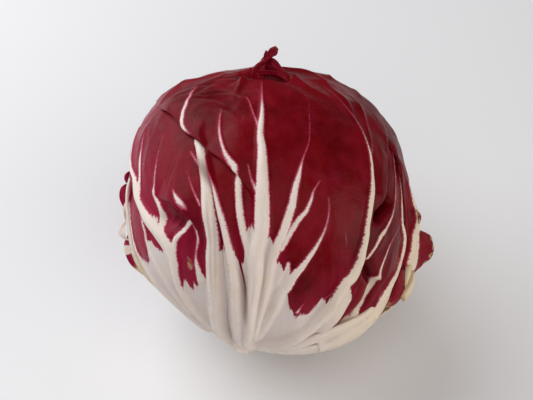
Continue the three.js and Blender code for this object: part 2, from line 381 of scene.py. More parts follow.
def rib_fields(leaf, directions):
    shape = directions.shape[:-1]
    relief, white, on_rib = np.zeros(shape), np.full(shape, FAR_IN_RED), np.zeros(shape)
    for points, widths, height in leaf.veins:
        distance, _, (width,) = Line(points, widths).measure(directions)
        dome = np.clip(1 - (distance / (RIB_FOOT * width + FOOT_EXTRA)) ** 2, 0, 1) ** 2
        relief = np.maximum(relief, height * np.minimum(width / FULL_RIB, TALLEST) * dome)
        faint = 0.25 * (1 - smoothstep(width, 0.3, 1.0))
        white = np.maximum(white, width - distance - faint)
        on_rib = np.maximum(on_rib, smoothstep(width - distance, -1.2, 1.0) * smoothstep(width, 0.3, 1.2))
    azimuth, polar = angles_of(directions)
    on_rib = np.maximum(on_rib, 1 - smoothstep(polar, 32, 48))
    relief *= FLAT_AT_STEM + (1 - FLAT_AT_STEM) * smoothstep(polar, 16, 50)
    edge = np.interp(azimuth, *np.array(leaf.pale_from, float).T)
    base = (edge - polar) * math.radians(PLAIN_RADIUS) + wavy(directions, BASE_WAVE, 9) * BASE_WAVER
    for points, widths in leaf.seams:
        distance, _, (width,) = Line(points, widths).measure(directions)
        bare = smoothstep(distance, 0.1 * width, 1.6 * width + 0.2)
        white = white * bare - SEAM_RED * (1 - bare)
        base = base * bare - SEAM_RED * (1 - bare)
    return relief, white, base, on_rib


def fold_fields(leaf, directions):
    """The lift of each fold in mm, and the sideways shift that rolls its edge over."""
    lift = np.zeros(directions.shape[:-1])
    shift = np.zeros(directions.shape)
    for points, heights, reach, raised_side, run_up in leaf.folds:
        line = Line(points, heights)
        distance, side, (height,) = line.measure(directions)
        inside = distance * side * raised_side
        lift += height * smoothstep(inside, -0.7, run_up) * np.exp(-((np.maximum(inside, 0) / reach) ** 2))
        if run_up > GENTLE_RUN_UP:
            continue
        run = np.gradient(line.points, axis=0).mean(axis=0)
        down_slope = -raised_side * np.cross(directions, run / np.linalg.norm(run))
        crest = FOLD_CREST * np.exp(-(((inside - CREST_AT) / CREST_SPREAD) ** 2))
        foot = FOLD_FOOT * np.exp(-(((inside + FOOT_AT) / FOOT_SPREAD) ** 2))
        shift += down_slope * (height * (crest - foot))[..., None]
    return lift, shift


def painted_shade_field(directions, painted_shades):
    """Painted shade from 0 to 1, which darkens the paint in creases in place of their shadow: lines with a
    width in mm and a strength.
    """
    painted_shade = np.zeros(directions.shape[:-1])
    for points, width, strength in painted_shades:
        distance, _, (share,) = Line(points, strength).measure(directions)
        painted_shade = np.maximum(painted_shade, share * np.exp(-((distance / width) ** 2)))
    return painted_shade


# %% [markdown]
# ## From grid to shell
# The outer and the inner face are two copies of the grid, joined by a rim, so a leaf is closed and has a
# real thickness. Solidify could thicken one sheet, but a leaf is thick at the stem and thins out at its
# margins. The fields go on the mesh as point attributes, where the finish reads them.


# %% Shell
def add_fields(mesh, fields):
    """Each field becomes an attribute on the points: a number, or a vector where it has three columns."""
    for field, values in fields.items():
        values = np.asarray(values, np.float32)
        kind, key = ("FLOAT_VECTOR", "vector") if values.ndim == 2 else ("FLOAT", "value")
        mesh.attributes.new(field, kind, "POINT").data.foreach_set(key, values.ravel())


def shell_mesh(name, outer, inner, fields):
    rows, columns = outer.shape[:2]
    count = rows * columns
    index = np.arange(count).reshape(rows, columns)
    corners = [index[:-1, :-1], index[:-1, 1:], index[1:, 1:], index[1:, :-1]]
    outer_faces = np.column_stack([corner.ravel() for corner in corners])
    rim = np.concatenate([index[0, :-1], index[:-1, -1], index[-1, :0:-1], index[:0:-1, 0]])
    ahead = np.roll(rim, -1)
    rim_faces = np.column_stack([ahead, rim, rim + count, ahead + count])
    faces = np.vstack([outer_faces, outer_faces[:, ::-1] + count, rim_faces])
    points = to_scene(np.vstack([outer.reshape(-1, 3), inner.reshape(-1, 3)]))
    mesh = bpy.data.meshes.new(name)
    mesh.vertices.add(len(points))
    mesh.vertices.foreach_set("co", points.ravel())
    mesh.loops.add(faces.size)
    mesh.loops.foreach_set("vertex_index", faces.ravel())
    mesh.polygons.add(len(faces))
    mesh.polygons.foreach_set("loop_start", np.arange(0, faces.size, 4))
    mesh.update(calc_edges=True)
    mesh.polygons.foreach_set("use_smooth", np.ones(len(faces), bool))
    for field, values in fields.items():
        flat = values.reshape(count, 3) if values.ndim == 3 else values.ravel()
        add_fields(mesh, {field: np.concatenate([flat, flat])})
    mesh.validate()
    return mesh


# %% [markdown]
# ## Laying one leaf
# A laid leaf is the draped grid plus all that it carries. It is puckered a little between its ribs, like a
# leaf that grew faster than its veins, and it gets thinner towards its margins. The body is kept without
# the lifted folds, so that a fold on one leaf doesn't push the whole stack in.

# %% Laying
MARGIN_THINS, TIP_THINS = 0.035, 0.03  # shares of the leaf's width and length
THIN_EDGE = 0.35  # share of the thickness that is left at the margins
HEEL_SPREAD = 60  # degrees
BROAD_WAVE, SMALL_WAVE = 13, 5.5  # mm, the sizes of the puckers
PUCKER_ON_RIBS = 0.7  # share of the puckers that the ribs keep out


def lay_leaf(leaf, stack):
    """Drapes the leaf over the stack and keeps its two faces and its fields."""
    directions = leaf.grid()
    _, polar = angles_of(directions)
    across = np.linspace(-1, 1, leaf.columns)[None, :]
    share = np.linspace(0, 1, leaf.rows)[:, None]
    to_side = smoothstep(1 - np.abs(across), 0, MARGIN_THINS) + 0 * share
    to_margin = np.minimum(to_side, smoothstep(1 - share, 0, TIP_THINS))
    relief, white, base, on_rib = rib_fields(leaf, directions)
    lift, shift = fold_fields(leaf, directions)
    lift += bells(directions, leaf.lifts)
    for points, heights, width in leaf.creases:
        distance, _, (height,) = Line(points, heights).measure(directions)
        lift += height * np.exp(-np.sqrt(distance**2 + 0.1) / width)
    pressed = smoothstep(1 - np.abs(across), 0, 0.15) + 0 * share
    broad = wavy(directions, BROAD_WAVE, leaf.azimuth)
    small = wavy(directions, SMALL_WAVE, 3 + leaf.azimuth)
    ruffle = leaf.pucker * pressed * (1 + broad + 0.5 * small)
    blade_only = 1 - PUCKER_ON_RIBS * smoothstep(np.maximum(white, base), -1, 2)
    leaf.inner = drape(leaf, stack, directions) + lift + ruffle * blade_only
    thick = leaf.blade + leaf.heel * np.exp(-((polar / HEEL_SPREAD) ** 2))
    thick = thick * (THIN_EDGE + (1 - THIN_EDGE) * to_margin)
    leaf.outer = leaf.inner + thick + relief * (0.3 + 0.7 * to_margin)
    leaf.body = leaf.outer - lift
    leaf.directions = directions
    leaf.shift = shift
    along_leaf, _ = leaf.lay(directions)
    flow = np.stack([60 * across + 0 * share, 0.12 * along_leaf, leaf.azimuth + 0 * along_leaf], axis=-1)
    # The last field but one is painted shade: it darkens the paint in deep creases, in place of their shadow.
    leaf.fields = {"white": white, "base": base, "rib": on_rib, "dry": bells(directions, leaf.dry),
                   "painted_shade": painted_shade_field(directions, leaf.painted_shades), "flow": flow}
    stack.append(leaf)
    print(leaf.name, "laid, outer radius up to", round(leaf.outer.max(), 1))


# %% [markdown]
# ## Settling the stack
# The leaves are packed tight, so the stack is thickest where most of them overlap. One smooth field then
# moves every leaf in or out by the same amount in each direction, so that the outermost faces follow the
# outline of the head and the spaces between the leaves stay as they were draped.

# %% Settling field
TABLE_STEP = 4  # degrees
SETTLE_SPREAD = 8  # degrees
OUTER_RELIEF = 0.6  # mm that ribs and puckers stand out from the settled bodies


def settling_table(stack):
    azimuths, polars = np.meshgrid(np.arange(-180, 181, TABLE_STEP), np.arange(0, 181, TABLE_STEP))
    directions = towards(azimuths, polars)
    reach = np.maximum.reduce([leaf.radius_at(directions, "body") for leaf in stack])
    flat = directions.reshape(-1, 3)
    cosine = np.clip(flat @ flat.T, -1, 1)
    near = np.exp(-((np.degrees(np.arccos(cosine)) / SETTLE_SPREAD) ** 2))
    near = near * (np.sin(np.radians(polars)).ravel() + 0.02) * (reach.ravel() > 0)
    smooth = (near @ reach.ravel()) / near.sum(axis=1)
    return outline(directions) - OUTER_RELIEF - smooth.reshape(reach.shape)


def settled(table, directions):
    azimuth, polar = angles_of(directions)
    x, y = (azimuth + 180) / TABLE_STEP, polar / TABLE_STEP
    i = np.minimum(y.astype(int), table.shape[0] - 2)
    j = np.minimum(x.astype(int), table.shape[1] - 2)
    y, x = y - i, x - j
    return ((table[i, j] * (1 - x) + table[i, j + 1] * x) * (1 - y)
            + (table[i + 1, j] * (1 - x) + table[i + 1, j + 1] * x) * y)


# %% [markdown]
# ## A piece of the model
# Every finished mesh becomes an object at the origin that rides the head's one body. A detailed leaf stands
# in for the plain solid of the same name. Where a leaf would reach through the board it is pressed flat,
# because a head of this weight lies on a small flat spot of its own making.

# %% Pieces
INNER_CLEARANCE = 0.3  # mm between the board and the inner face of a pressed leaf


def declare(name, mesh, finish, *replaced):
    """Puts the mesh in the scene as a piece on the root body, in the place of the solids it replaces."""
    piece = bpy.data.objects.new(name, mesh)
    bpy.context.scene.collection.objects.link(piece)
    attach(piece, "root")
    if replaced:
        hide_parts(*replaced)
    print(name, "has", len(mesh.loops) - 2 * len(mesh.polygons), "triangles")


def leaf_piece(leaf, table, material):
    move = settled(table, leaf.directions) - hollow_depth(leaf.directions)
    outer_points = leaf.directions * (leaf.outer + move)[..., None] + leaf.shift
    inner_points = leaf.directions * (leaf.inner + move)[..., None] + leaf.shift
    down = HEAD_AXES[:, 2]
    for points, clearance in ((outer_points, 0.0), (inner_points, INNER_CLEARANCE)):
        sunk = np.minimum(points @ down + REST_HEIGHT - clearance, 0)
        points -= sunk[..., None] * down
    mesh = shell_mesh(leaf.name, outer_points, inner_points, leaf.fields)
    mesh.materials.append(material)
    declare(leaf.name + "_fine", mesh, "red_leaf", leaf.name)


# %% [markdown]
# ## The view
# The head lies on a pale board. The camera looks down on it at 52 degrees, so the crown shows at the top
# and the white leaf bases at the bottom. A long lens from a distance keeps the ball from bulging.

# %% Camera
CAMERA_ELEVATION = math.radians(52)
CAMERA_DISTANCE = 0.58
VIEW_WIDTH = 0.2239  # metres across the view, at the head's middle
SENSOR_WIDTH = 36
view_direction = Vector((0, math.cos(CAMERA_ELEVATION), -math.sin(CAMERA_ELEVATION)))
camera_data = bpy.data.cameras.new("camera")
camera_data.sensor_width = SENSOR_WIDTH
camera_data.lens = SENSOR_WIDTH * CAMERA_DISTANCE / VIEW_WIDTH
camera_data.shift_y = 0.0225
camera = bpy.data.objects.new("camera", camera_data)
camera.location = HEAD_MIDDLE - view_direction * CAMERA_DISTANCE
camera.rotation_euler = view_direction.to_track_quat("-Z", "Y").to_euler()
bpy.context.scene.collection.objects.link(camera)
bpy.context.scene.camera = camera
bpy.context.scene.view_settings.view_transform = "Standard"
print("lens", round(camera_data.lens, 1), "mm")

# %% [markdown]
# ## The light
# A kitchen by day: a cool window on the left behind the head, and warm light that comes back from the room
# and from a wall on the right. Three large discs give the same soft shadows as the real room, and a weak
# grey world fills what they leave dark.

# %% Lights
WORLD_COLOUR, WORLD_STRENGTH = (0.93, 0.95, 1.0, 1), 0.13
LIGHTS = [  # name, place in metres, size in metres, power in watts, colour
    ("window", (-0.5, 0.32, 0.55), 1.0, 6.6, (0.97, 0.985, 1.0)),
    ("room", (0.1, -0.7, 1.1), 1.5, 7.3, (1.0, 0.92, 0.86)),
    ("wall", (1.0, -0.35, 0.3), 0.8, 4.6, (1.0, 0.92, 0.86)),
]
world = bpy.data.worlds.new("studio")
world.use_nodes = True
background = world.node_tree.nodes["Background"]
background.inputs["Color"].default_value = WORLD_COLOUR
background.inputs["Strength"].default_value = WORLD_STRENGTH
bpy.context.scene.world = world
for name, place, size, power, colour in LIGHTS:
    data = bpy.data.lights.new(name, "AREA")
    data.shape = "DISK"
    data.size = size
    data.energy = power
    data.color = colour
    light = bpy.data.objects.new(name, data)
    light.location = place
    light.rotation_euler = (HEAD_MIDDLE - Vector(place)).to_track_quat("-Z", "Y").to_euler()
    bpy.context.scene.collection.objects.link(light)
    print("light", name, "gives", power, "W")

# %% [markdown]
# ## Wiring nodes
# A shader or geometry tree can be drawn by hand in the node editor. Built in the script it can be read from
# top to bottom, so a small helper makes a node, sets its inputs and links it in one line.


# %% Node helpers
class Wiring:
    """Makes nodes in a tree and feeds them numbers, colours or other nodes' sockets."""

    def __init__(self, tree):
        self.tree = tree

    def feed(self, node, inputs):
        for key, value in inputs.items():
            socket = node.inputs[key]
            if isinstance(value, bpy.types.NodeSocket):
                self.tree.links.new(value, socket)
            else:
                socket.default_value = value
        return node

    def make(self, kind, inputs=None, **settings):
        node = self.tree.nodes.new(kind)
        for key, value in settings.items():
            setattr(node, key, value)
        return self.feed(node, inputs or {})

    def object_place(self):
        return self.make("ShaderNodeTexCoord").outputs["Object"]

    def attribute(self, name):
        return self.make("ShaderNodeAttribute", attribute_name=name).outputs["Fac"]

    def math(self, operation, a, b=0.0):
        return self.make("ShaderNodeMath", {0: a, 1: b}, operation=operation).outputs[0]

    def plus(self, a, b):
        return self.math("ADD", a, b)

    def minus(self, a, b):
        return self.math("SUBTRACT", a, b)

    def times(self, a, b):
        return self.math("MULTIPLY", a, b)

    def vector_math(self, operation, a, b):
        return self.make("ShaderNodeVectorMath", {0: a, 1: b}, operation=operation).outputs[0]

    def ramp(self, value, low, high, to_low=0.0, to_high=1.0):
        inputs = {"Value": value, "From Min": low, "From Max": high, "To Min": to_low, "To Max": to_high}
        return self.make("ShaderNodeMapRange", inputs, interpolation_type="SMOOTHSTEP").outputs["Result"]

    def blend(self, share, a, b):
        return self.make("ShaderNodeMix", {0: share, 6: a, 7: b}, data_type="RGBA").outputs[2]

    def noise(self, place, scale, detail=3, roughness=0.55):
        inputs = {"Vector": place, "Scale": scale, "Detail": detail, "Roughness": roughness}
        return self.make("ShaderNodeTexNoise", inputs).outputs["Fac"]

    def noise_about(self, middle, reach, *noise):
        """Noise that is shifted by its middle and stretched to a reach."""
        return self.times(self.minus(self.noise(*noise), middle), reach)

    def cells(self, place, scale):
        """The distance to the nearest border of Voronoi cells."""
        inputs = {"Vector": place, "Scale": scale}
        return self.make("ShaderNodeTexVoronoi", inputs, feature="DISTANCE_TO_EDGE").outputs[0]


def new_material(name):
    material = bpy.data.materials.new(name)
    material.use_nodes = True
    return material, Wiring(material.node_tree), material.node_tree.nodes["Principled BSDF"]


# %% [markdown]
# ## One paint for all leaves
# Every leaf is painted by the same node group, so a change shows on the whole head. It reads the fields on
# the mesh. The white field is a distance, so its zero line stays crisp between the points of the mesh. First
# come the colours, measured in linear light: the reds are dark and almost free of green and blue.

# %% Leaf colours and inputs
DEEP_RED = (0.095, 0.001, 0.0025, 1)
RED = (0.165, 0.0018, 0.005, 1)
VEIN_RED = (0.26, 0.008, 0.02, 1)
# Painted shade: a near-black red for the blade in deep creases, in place of their shadow.
PAINTED_SHADE_RED = (0.05, 0.0005, 0.0012, 1)
MAGENTA = (0.30, 0.007, 0.036, 1)
# Painted light: rose for the lower left of the head, where the window lights it.
PAINTED_LIGHT_ROSE = (0.32, 0.011, 0.05, 1)
PINK = (0.50, 0.14, 0.20, 1)
# Cream is the ribs' own tone, and on the right of the head also a painted light for the warm room light.
CREAM_AND_WARM_LIGHT = (0.75, 0.635, 0.47, 1)
WHITE = (0.82, 0.73, 0.675, 1)
# The skin between the ribs: partly its own thinner tone, partly a painted shade between the raised ribs.
MEMBRANE_AND_SHADE = (0.74, 0.65, 0.62, 1)
STREAK = (0.58, 0.49, 0.45, 1)
# Painted shade: a dark brown for the white in deep creases, in place of their shadow.
PAINTED_SHADE_WHITE = (0.22, 0.12, 0.09, 1)
STRAW = (0.66, 0.52, 0.27, 1)
BROWN = (0.22, 0.10, 0.035, 1)
# The last field is painted shade, which darkens creases in place of their shadow.
LEAF_FIELDS = ("White", "Base", "Rib", "Dry", "Painted_Shade")

leaf_paint = bpy.data.node_groups.new("leaf paint", "ShaderNodeTree")
for label in LEAF_FIELDS:
    leaf_paint.interface.new_socket(label, in_out="INPUT", socket_type="NodeSocketFloat")
leaf_paint.interface.new_socket("Flow", in_out="INPUT", socket_type="NodeSocketVector")
for label, kind in (("Colour", "Color"), ("Roughness", "Float"), ("Height", "Float")):
    leaf_paint.interface.new_socket(label, in_out="OUTPUT", socket_type="NodeSocket" + kind)
w = Wiring(leaf_paint)
given = w.make("NodeGroupInput").outputs
print("the leaf paint reads", len(LEAF_FIELDS) + 1, "fields")

# %% [markdown]
# ## The frayed edge between red and white
# Short side veins cross the edge of each rib, so the white ends in a fine fringe, and in long teeth where
# it comes up from the stem. Noise that is stretched sideways makes the fringe, and noise along the leaf's
# flow makes the teeth. Real side veins would take thousands of lines that hardly show.

# %% Frayed edge
BROAD, MIDDLING, FINE, FRINGE, FRAY = 32, 150, 800, 1500, 1300  # features per metre
place = w.object_place()
broad = w.noise(place, BROAD, 3)
middling = w.noise(place, MIDDLING, 4)
fine = w.noise(place, FINE, 3, 0.65)
sideways = w.vector_math("MULTIPLY", place, (0.22, 1, 1))
fringe = w.noise_about(0.46, 1.5, sideways, FRINGE, 2, 0.6)
fringe = w.times(fringe, w.ramp(given["Rib"], 0.1, 0.7, 0.25, 1))
fray = w.plus(w.noise_about(0.5, 0.4, place, FRAY, 2, 0.6), fringe)
teeth = w.noise_about(0.5, 8.0, given["Flow"], 0.9, 4, 0.7)
streak = w.noise(given["Flow"], 1.6, 4, 0.65)
base = w.plus(w.plus(given["Base"], teeth), w.times(fray, 1.6))
white = w.math("MAXIMUM", w.plus(given["White"], fray), base)

# %% [markdown]
# ## The net of veins
# Between the ribs a radicchio leaf shows a fine net. Voronoi cells draw it: the borders of large cells are
# the stronger veins and those of small cells the weaker ones. The place is warped a little first, because
# straight cell borders look like cracked glass.

# %% Net of veins
COARSE_NET, FINE_NET = 130, 420  # cells per metre
warping = w.make("ShaderNodeTexNoise", {"Vector": place, "Scale": 260, "Detail": 2}).outputs["Color"]
wander = w.vector_math("ADD", place, warping)
warp = w.make("ShaderNodeMix", {0: 0.0035, 4: place, 5: wander}, data_type="VECTOR").outputs[1]
strong_veins = w.ramp(w.cells(warp, COARSE_NET), 0.09, 0.0, 0, 0.7)
weak_veins = w.ramp(w.cells(warp, FINE_NET), 0.13, 0.0, 0, 0.4)
net = w.math("MAXIMUM", strong_veins, weak_veins)

# %% [markdown]
# ## The red of the blade
# The red is patchy, with magenta clouds. Low on the left it is painted towards rose, a painted light for the
# window that lights that side, and near the white base it turns towards magenta. In a crease it is painted
# nearly black, a painted shade in place of the crease's shadow.

# %% Red blade
red = w.blend(w.ramp(broad, 0.36, 0.62), DEEP_RED, RED)
red = w.blend(w.ramp(middling, 0.4, 0.8, 0, 0.3), red, MAGENTA)
red = w.blend(w.times(net, 0.16), red, VEIN_RED)
split = w.make("ShaderNodeSeparateXYZ", {0: place}).outputs
across_head = split["X"]
# Painted light: low on the left, where the window lights the head, the red is painted towards rose.
low = w.ramp(split["Z"], 0.114, 0.088, 0.05, 1)
painted_window_light = w.times(w.ramp(across_head, -0.004, -0.04, 0, 0.7), low)
red = w.blend(painted_window_light, red, PAINTED_LIGHT_ROSE)
red = w.blend(w.ramp(given["Base"], -16.0, -2.0, 0, 0.4), red, MAGENTA)
# Painted shade: in deep creases the red is darkened towards near black.
red = w.blend(w.ramp(given["Painted_Shade"], 0.05, 1.0, 0, 0.8), red, PAINTED_SHADE_RED)
halo = w.times(w.ramp(white, -0.6, -0.12), w.ramp(across_head, 0.008, 0.032, 1.0, 0.25))
near_white = w.blend(halo, red, MAGENTA)

# %% [markdown]
# ## The white of ribs and base
# Ribs are opaque and warm, and the skin between them is thin and greyer, partly its own tone and partly a
# painted shade between the raised ribs. Fibres run along the white as faint streaks. On the right of the head
# the white is painted cream, a painted light for the warm room light there, and in a crease it is painted
# dark brown, a painted shade. A band of pink lies between red and white, because the red pigment ends cell by
# cell.

# %% White ribs
# The skin between the ribs is painted greyer: partly its own tone, partly painted shade between the ribs.
pale = w.blend(w.ramp(given["Rib"], 0.1, 0.9), MEMBRANE_AND_SHADE, WHITE)
creamy = w.plus(middling, w.times(given["Rib"], 0.1))
pale = w.blend(w.ramp(creamy, 0.5, 0.9, 0, 0.45), pale, CREAM_AND_WARM_LIGHT)
pale = w.blend(w.ramp(streak, 0.48, 0.75, 0, 0.35), pale, STREAK)
# Painted light: on the right of the head the white is painted cream for the warm light from the room.
pale = w.blend(w.ramp(across_head, 0.012, 0.045, 0, 0.75), pale, CREAM_AND_WARM_LIGHT)
# Painted shade: in deep creases the white is darkened towards brown.
pale = w.blend(w.ramp(given["Painted_Shade"], 0.05, 1.0, 0, 0.8), pale, PAINTED_SHADE_WHITE)
blush = w.times(w.ramp(white, -0.4, 0.15), w.ramp(across_head, 0.01, 0.035, 1.0, 0.45))
pink = w.blend(blush, near_white, PINK)
colour = w.blend(w.ramp(white, 0.0, 0.4), pink, pale)

# %% [markdown]
# ## Dry spots, gloss and fine relief
# Where a leaf was torn it dries to straw and then to brown, in mottled patches. Fresh leaf has a soft waxy
# gloss, and dry leaf is dull. The height goes to a bump in the material: the net is sunk and the fibres of
# the white stand up, both too small to be worth a mesh.

# %% Dry spots and gloss
mottled = w.times(w.minus(fine, 0.5), 0.6)
dryness = w.plus(given["Dry"], w.times(mottled, w.ramp(given["Dry"], 0.02, 0.2)))
colour = w.blend(w.ramp(dryness, 0.16, 0.5, 0, 0.75), colour, STRAW)
dry = w.ramp(dryness, 0.45, 0.8)
colour = w.blend(dry, colour, BROWN)
gloss = w.plus(w.ramp(middling, 0.3, 0.7, 0.26, 0.40), w.times(dry, 0.3))
height = w.plus(w.times(net, -0.25), w.times(fine, 0.35))
height = w.plus(height, w.times(streak, w.ramp(white, 0, 1, 0, 0.7)))
w.feed(w.make("NodeGroupOutput"), {"Colour": colour, "Roughness": gloss, "Height": height})
print("the leaf paint has", len(leaf_paint.nodes), "nodes")

# %% [markdown]
# ## The leaf materials
# The group gives colours and values, and the shader itself stays in the material. A little subsurface
# scattering lets light bleed through the thin edges. The heart uses the same paint with a weaker bump.

# %% Leaf materials
GLOW_REACH = 0.002  # metres that light travels in the leaf
BUMP_DEPTH = 0.0006


def leaf_material(name, bump=0.35):
    material, w, shader = new_material(name)
    paint = w.make("ShaderNodeGroup", node_tree=leaf_paint)
    w.feed(paint, {label: w.attribute(label.lower()) for label in LEAF_FIELDS})
    w.feed(paint, {"Flow": w.make("ShaderNodeAttribute", attribute_name="flow").outputs["Vector"]})
    relief = w.make("ShaderNodeBump", {
        "Strength": bump, "Distance": BUMP_DEPTH, "Height": paint.outputs["Height"]})
    w.feed(shader, {
        "Base Color": paint.outputs["Colour"], "Roughness": paint.outputs["Roughness"],
        "Normal": relief.outputs["Normal"], "Specular IOR Level": 0.08, "Subsurface Weight": 0.06,
        "Subsurface Radius": (1.0, 0.35, 0.3), "Subsurface Scale": GLOW_REACH})
    return material


outer_finish = leaf_material("glossy_red_leaf")
print("made", outer_finish.name)

# %% [markdown]
# ## The wrapper leaves under the surface
# Seven leaves lie under the ones that show. They carry the outer ones, so they are draped first, each one
# over all that came before, and only their ends show where the outer leaves part.

# %% Wrapper leaves
stack = []
WRAPPERS = [  # azimuth and top, in the order they are draped; their margins are plain tapers
    (75, 156), (-148, 160), (-62, 158), (162, 162), (12, 156), (-106, 160), (126, 164),
]
for number, (azimuth, top) in enumerate(WRAPPERS, 1):
    midrib = ([(azimuth, 140), (azimuth, 90), (azimuth, 40)], [0.4, 2.2, 3.5], 0.8)
    leaf = Leaf(f"wrapper_leaf_{number}", azimuth, top=top, columns=56, taut=25, blade=0.5, heel=0.3,
                pucker=0.2, veins=[midrib], pale_from=[(-180, 80), (180, 80)])
    lay_leaf(leaf, stack)

# %% [markdown]
# ## The outer leaves: far left
# Each outer leaf is written down once, with its ribs, its margins and its folds. A rib is a row of
# directions from its thin end down to the stem, with its half width in millimetres along the way and the
# height that it stands up. The white of the base ends at a polar angle that changes round the head. This
# first one shows only as a narrow part beside the left leaf.

# %% Far left leaf
far_left = Leaf(
    "far_left_leaf", -98, top=162, half_width=52, rows=120, columns=115,
    right=[(-46, 162), (-42, 145), (-37, 120), (-31, 100), (-28, 82), (-26, 64), (-25, 46), (-29, 30),
        (-42, 16)],
    veins=[
        ([(-72, 124), (-66, 112), (-60.5, 106), (-58.6, 102.7), (-57.4, 100.2), (-56, 97.8), (-54.6, 95.5),
          (-54, 92.5), (-53, 90), (-51.5, 86.5), (-49.5, 82), (-47, 75), (-44, 60)], [0.2, 0.3, 0.4, 0.5,
          0.7, 0.8, 0.8, 0.9, 1.0, 1.2, 1.5, 1.8, 2.2], 1.2),
        ([(-96, 130), (-86.5, 108.5), (-75.5, 102), (-72, 96), (-69, 89), (-64, 82), (-60, 76), (-56, 68),
          (-50, 56), (-46, 44)], [0.3, 0.8, 0.9, 1.0, 1.3, 1.6, 1.9, 2.0, 2.2, 2.4], 1.5),
        ([(-110, 130), (-104, 110), (-95, 90), (-84, 70), (-74, 50)], [0.3, 0.8, 1.5, 2.2, 2.6], 1.3),
        ([(-128, 120), (-122, 100), (-116, 80), (-110, 50)], [0.3, 0.6, 1.4, 2.6], 1.2),
    ],
    pale_from=[(-180, 92), (-110, 96), (-84, 92), (-70, 86), (-62, 83), (-56.5, 82.5), (-55, 85),
        (-54.3, 90.5), (-53.6, 93), (-52.5, 93.5), (-50, 92.3), (-47, 90.5), (-44, 90), (180, 92)],
    dry=[(-66, 74, 4, 0.45), (-70, 80, 2.0, 0.5), (-43.3, 90.6, 1.3, 0.35), (-55.6, 85.6, 0.9, 0.4)],
)
print(far_left.name, "has", len(far_left.veins), "ribs")

# %% [markdown]
# ## The right leaf: ribs
# The right leaf comes out from under the front leaf's margin. Its strongest rib bends twice where the leaf
# bulges over a hollow, so it has many points, and thin ribs branch from it. Ribs that were all drawn by a
# rule would look too even, so every one is set one by one.

# %% Ribs of the right leaf
RIGHT_RIBS = [  # directions, half widths in mm, height in mm
    ([(88, 140), (78, 118), (67, 105), (60.5, 97), (57, 93.5), (53, 91), (48, 88.5), (45, 85), (42, 82),
      (39, 77), (34, 68)], [0.2, 0.4, 0.5, 0.5, 0.6, 0.7, 0.8, 0.7, 0.7, 0.6, 0.6], 1.2),
    ([(67, 95), (63, 88), (59, 86), (55.5, 84), (53, 81.5), (50.5, 77.5), (49, 74), (49.5, 70.5)], [0.1,
      0.35, 0.4, 0.45, 0.6, 0.7, 0.8, 0.8], 1.0),
    ([(84, 126), (72, 104), (66.5, 92.5), (66, 87), (71, 80.5), (72, 74), (69, 70.5), (64.5, 67.5),
      (60, 66), (57, 63), (54.5, 59), (50, 52), (42, 45), (30, 38)], [0.2, 0.5, 0.9, 1.2, 1.7, 1.9, 2.0,
      2.2, 2.6, 2.9, 3.0, 3.0, 3.0, 3.0], 1.8),
    ([(100, 130), (84, 108), (75, 89.5), (80, 82), (78.5, 77.5), (76, 73), (73, 68.5), (66, 60), (58, 50)],
      [0.2, 0.4, 0.5, 0.6, 0.7, 0.7, 0.8, 1.4, 2.2], 1.2),
    ([(94, 129), (92.6, 125), (91.4, 121.7), (90.2, 116.6), (88.8, 110.8), (87.4, 104.9), (86.2, 99.1),
      (85.4, 94.4), (84.5, 88), (84, 78), (82, 64), (78, 50)], [0.3, 0.55, 0.65, 0.7, 0.75, 0.8, 0.8, 0.9,
      1.1, 1.4, 1.8, 2.2], 1.5),
    ([(112, 130), (108, 110), (104, 90), (99, 70), (90, 50)], [0.4, 0.8, 1.2, 1.8, 2.4], 1.6),
    ([(132, 120), (130, 100), (126, 75), (120, 50)], [0.3, 0.7, 1.6, 2.8], 1.3),
    ([(48, 71.3), (46.8, 69.4), (45.6, 67.6), (44.4, 65.4), (43.2, 63.1), (42.3, 60.4), (41.2, 58.6),
      (40.5, 55.9), (38, 50), (33, 43)], [0.9, 1.2, 1.35, 1.35, 1.3, 1.2, 1.2, 1.2, 1.4, 1.6], 1.5),
    ([(53.5, 67), (52.5, 64), (51.6, 60.9), (51.2, 57.5), (50, 52)], [0.1, 0.3, 0.35, 0.4, 0.8], 0.8),
]

# %% [markdown]
# ## The right leaf: creases and painted shade
# A crease is a narrow dip or ridge along a line, and the fine wrinkles of the shoulder are creases of less
# than a millimetre. A shade darkens the paint in a deep crease, where little light gets in.

# %% Creases of the right leaf
RIGHT_CREASES = [  # directions, heights in mm (negative goes in), width in mm
    ([(59, 99.5), (55, 98), (51, 96.5), (46, 95), (42, 94)], [0, -5, -7, -6, -1], 2.4),
    ([(47, 77), (45, 73), (43, 69)], [-0.5, -3, -0.5], 1.6),
    ([(52, 91), (49, 87), (44, 82)], [0.3, 1.4, 0.3], 1.6),
    ([(58, 80), (54, 72), (50, 66)], [0.2, 1.0, 0.4], 1.6),
    ([(90, 104), (84, 96), (78, 90)], [0.3, 1.0, 0.3], 1.6),
    ([(82, 127), (92, 130), (104, 132)], [0.2, 1.2, 0.5], 1.3),
    ([(80, 121), (90, 124.2), (102, 126)], [-0.2, -1.2, -0.4], 1.0),
    ([(76, 113), (88, 117), (100, 119)], [0.2, 0.9, 0.3], 1.1),
    ([(74, 119), (69, 113), (65, 107)], [0.2, 0.6, 0.2], 0.8),
    ([(79, 116), (75, 108), (71, 100)], [0.2, 0.7, 0.2], 0.8),
]
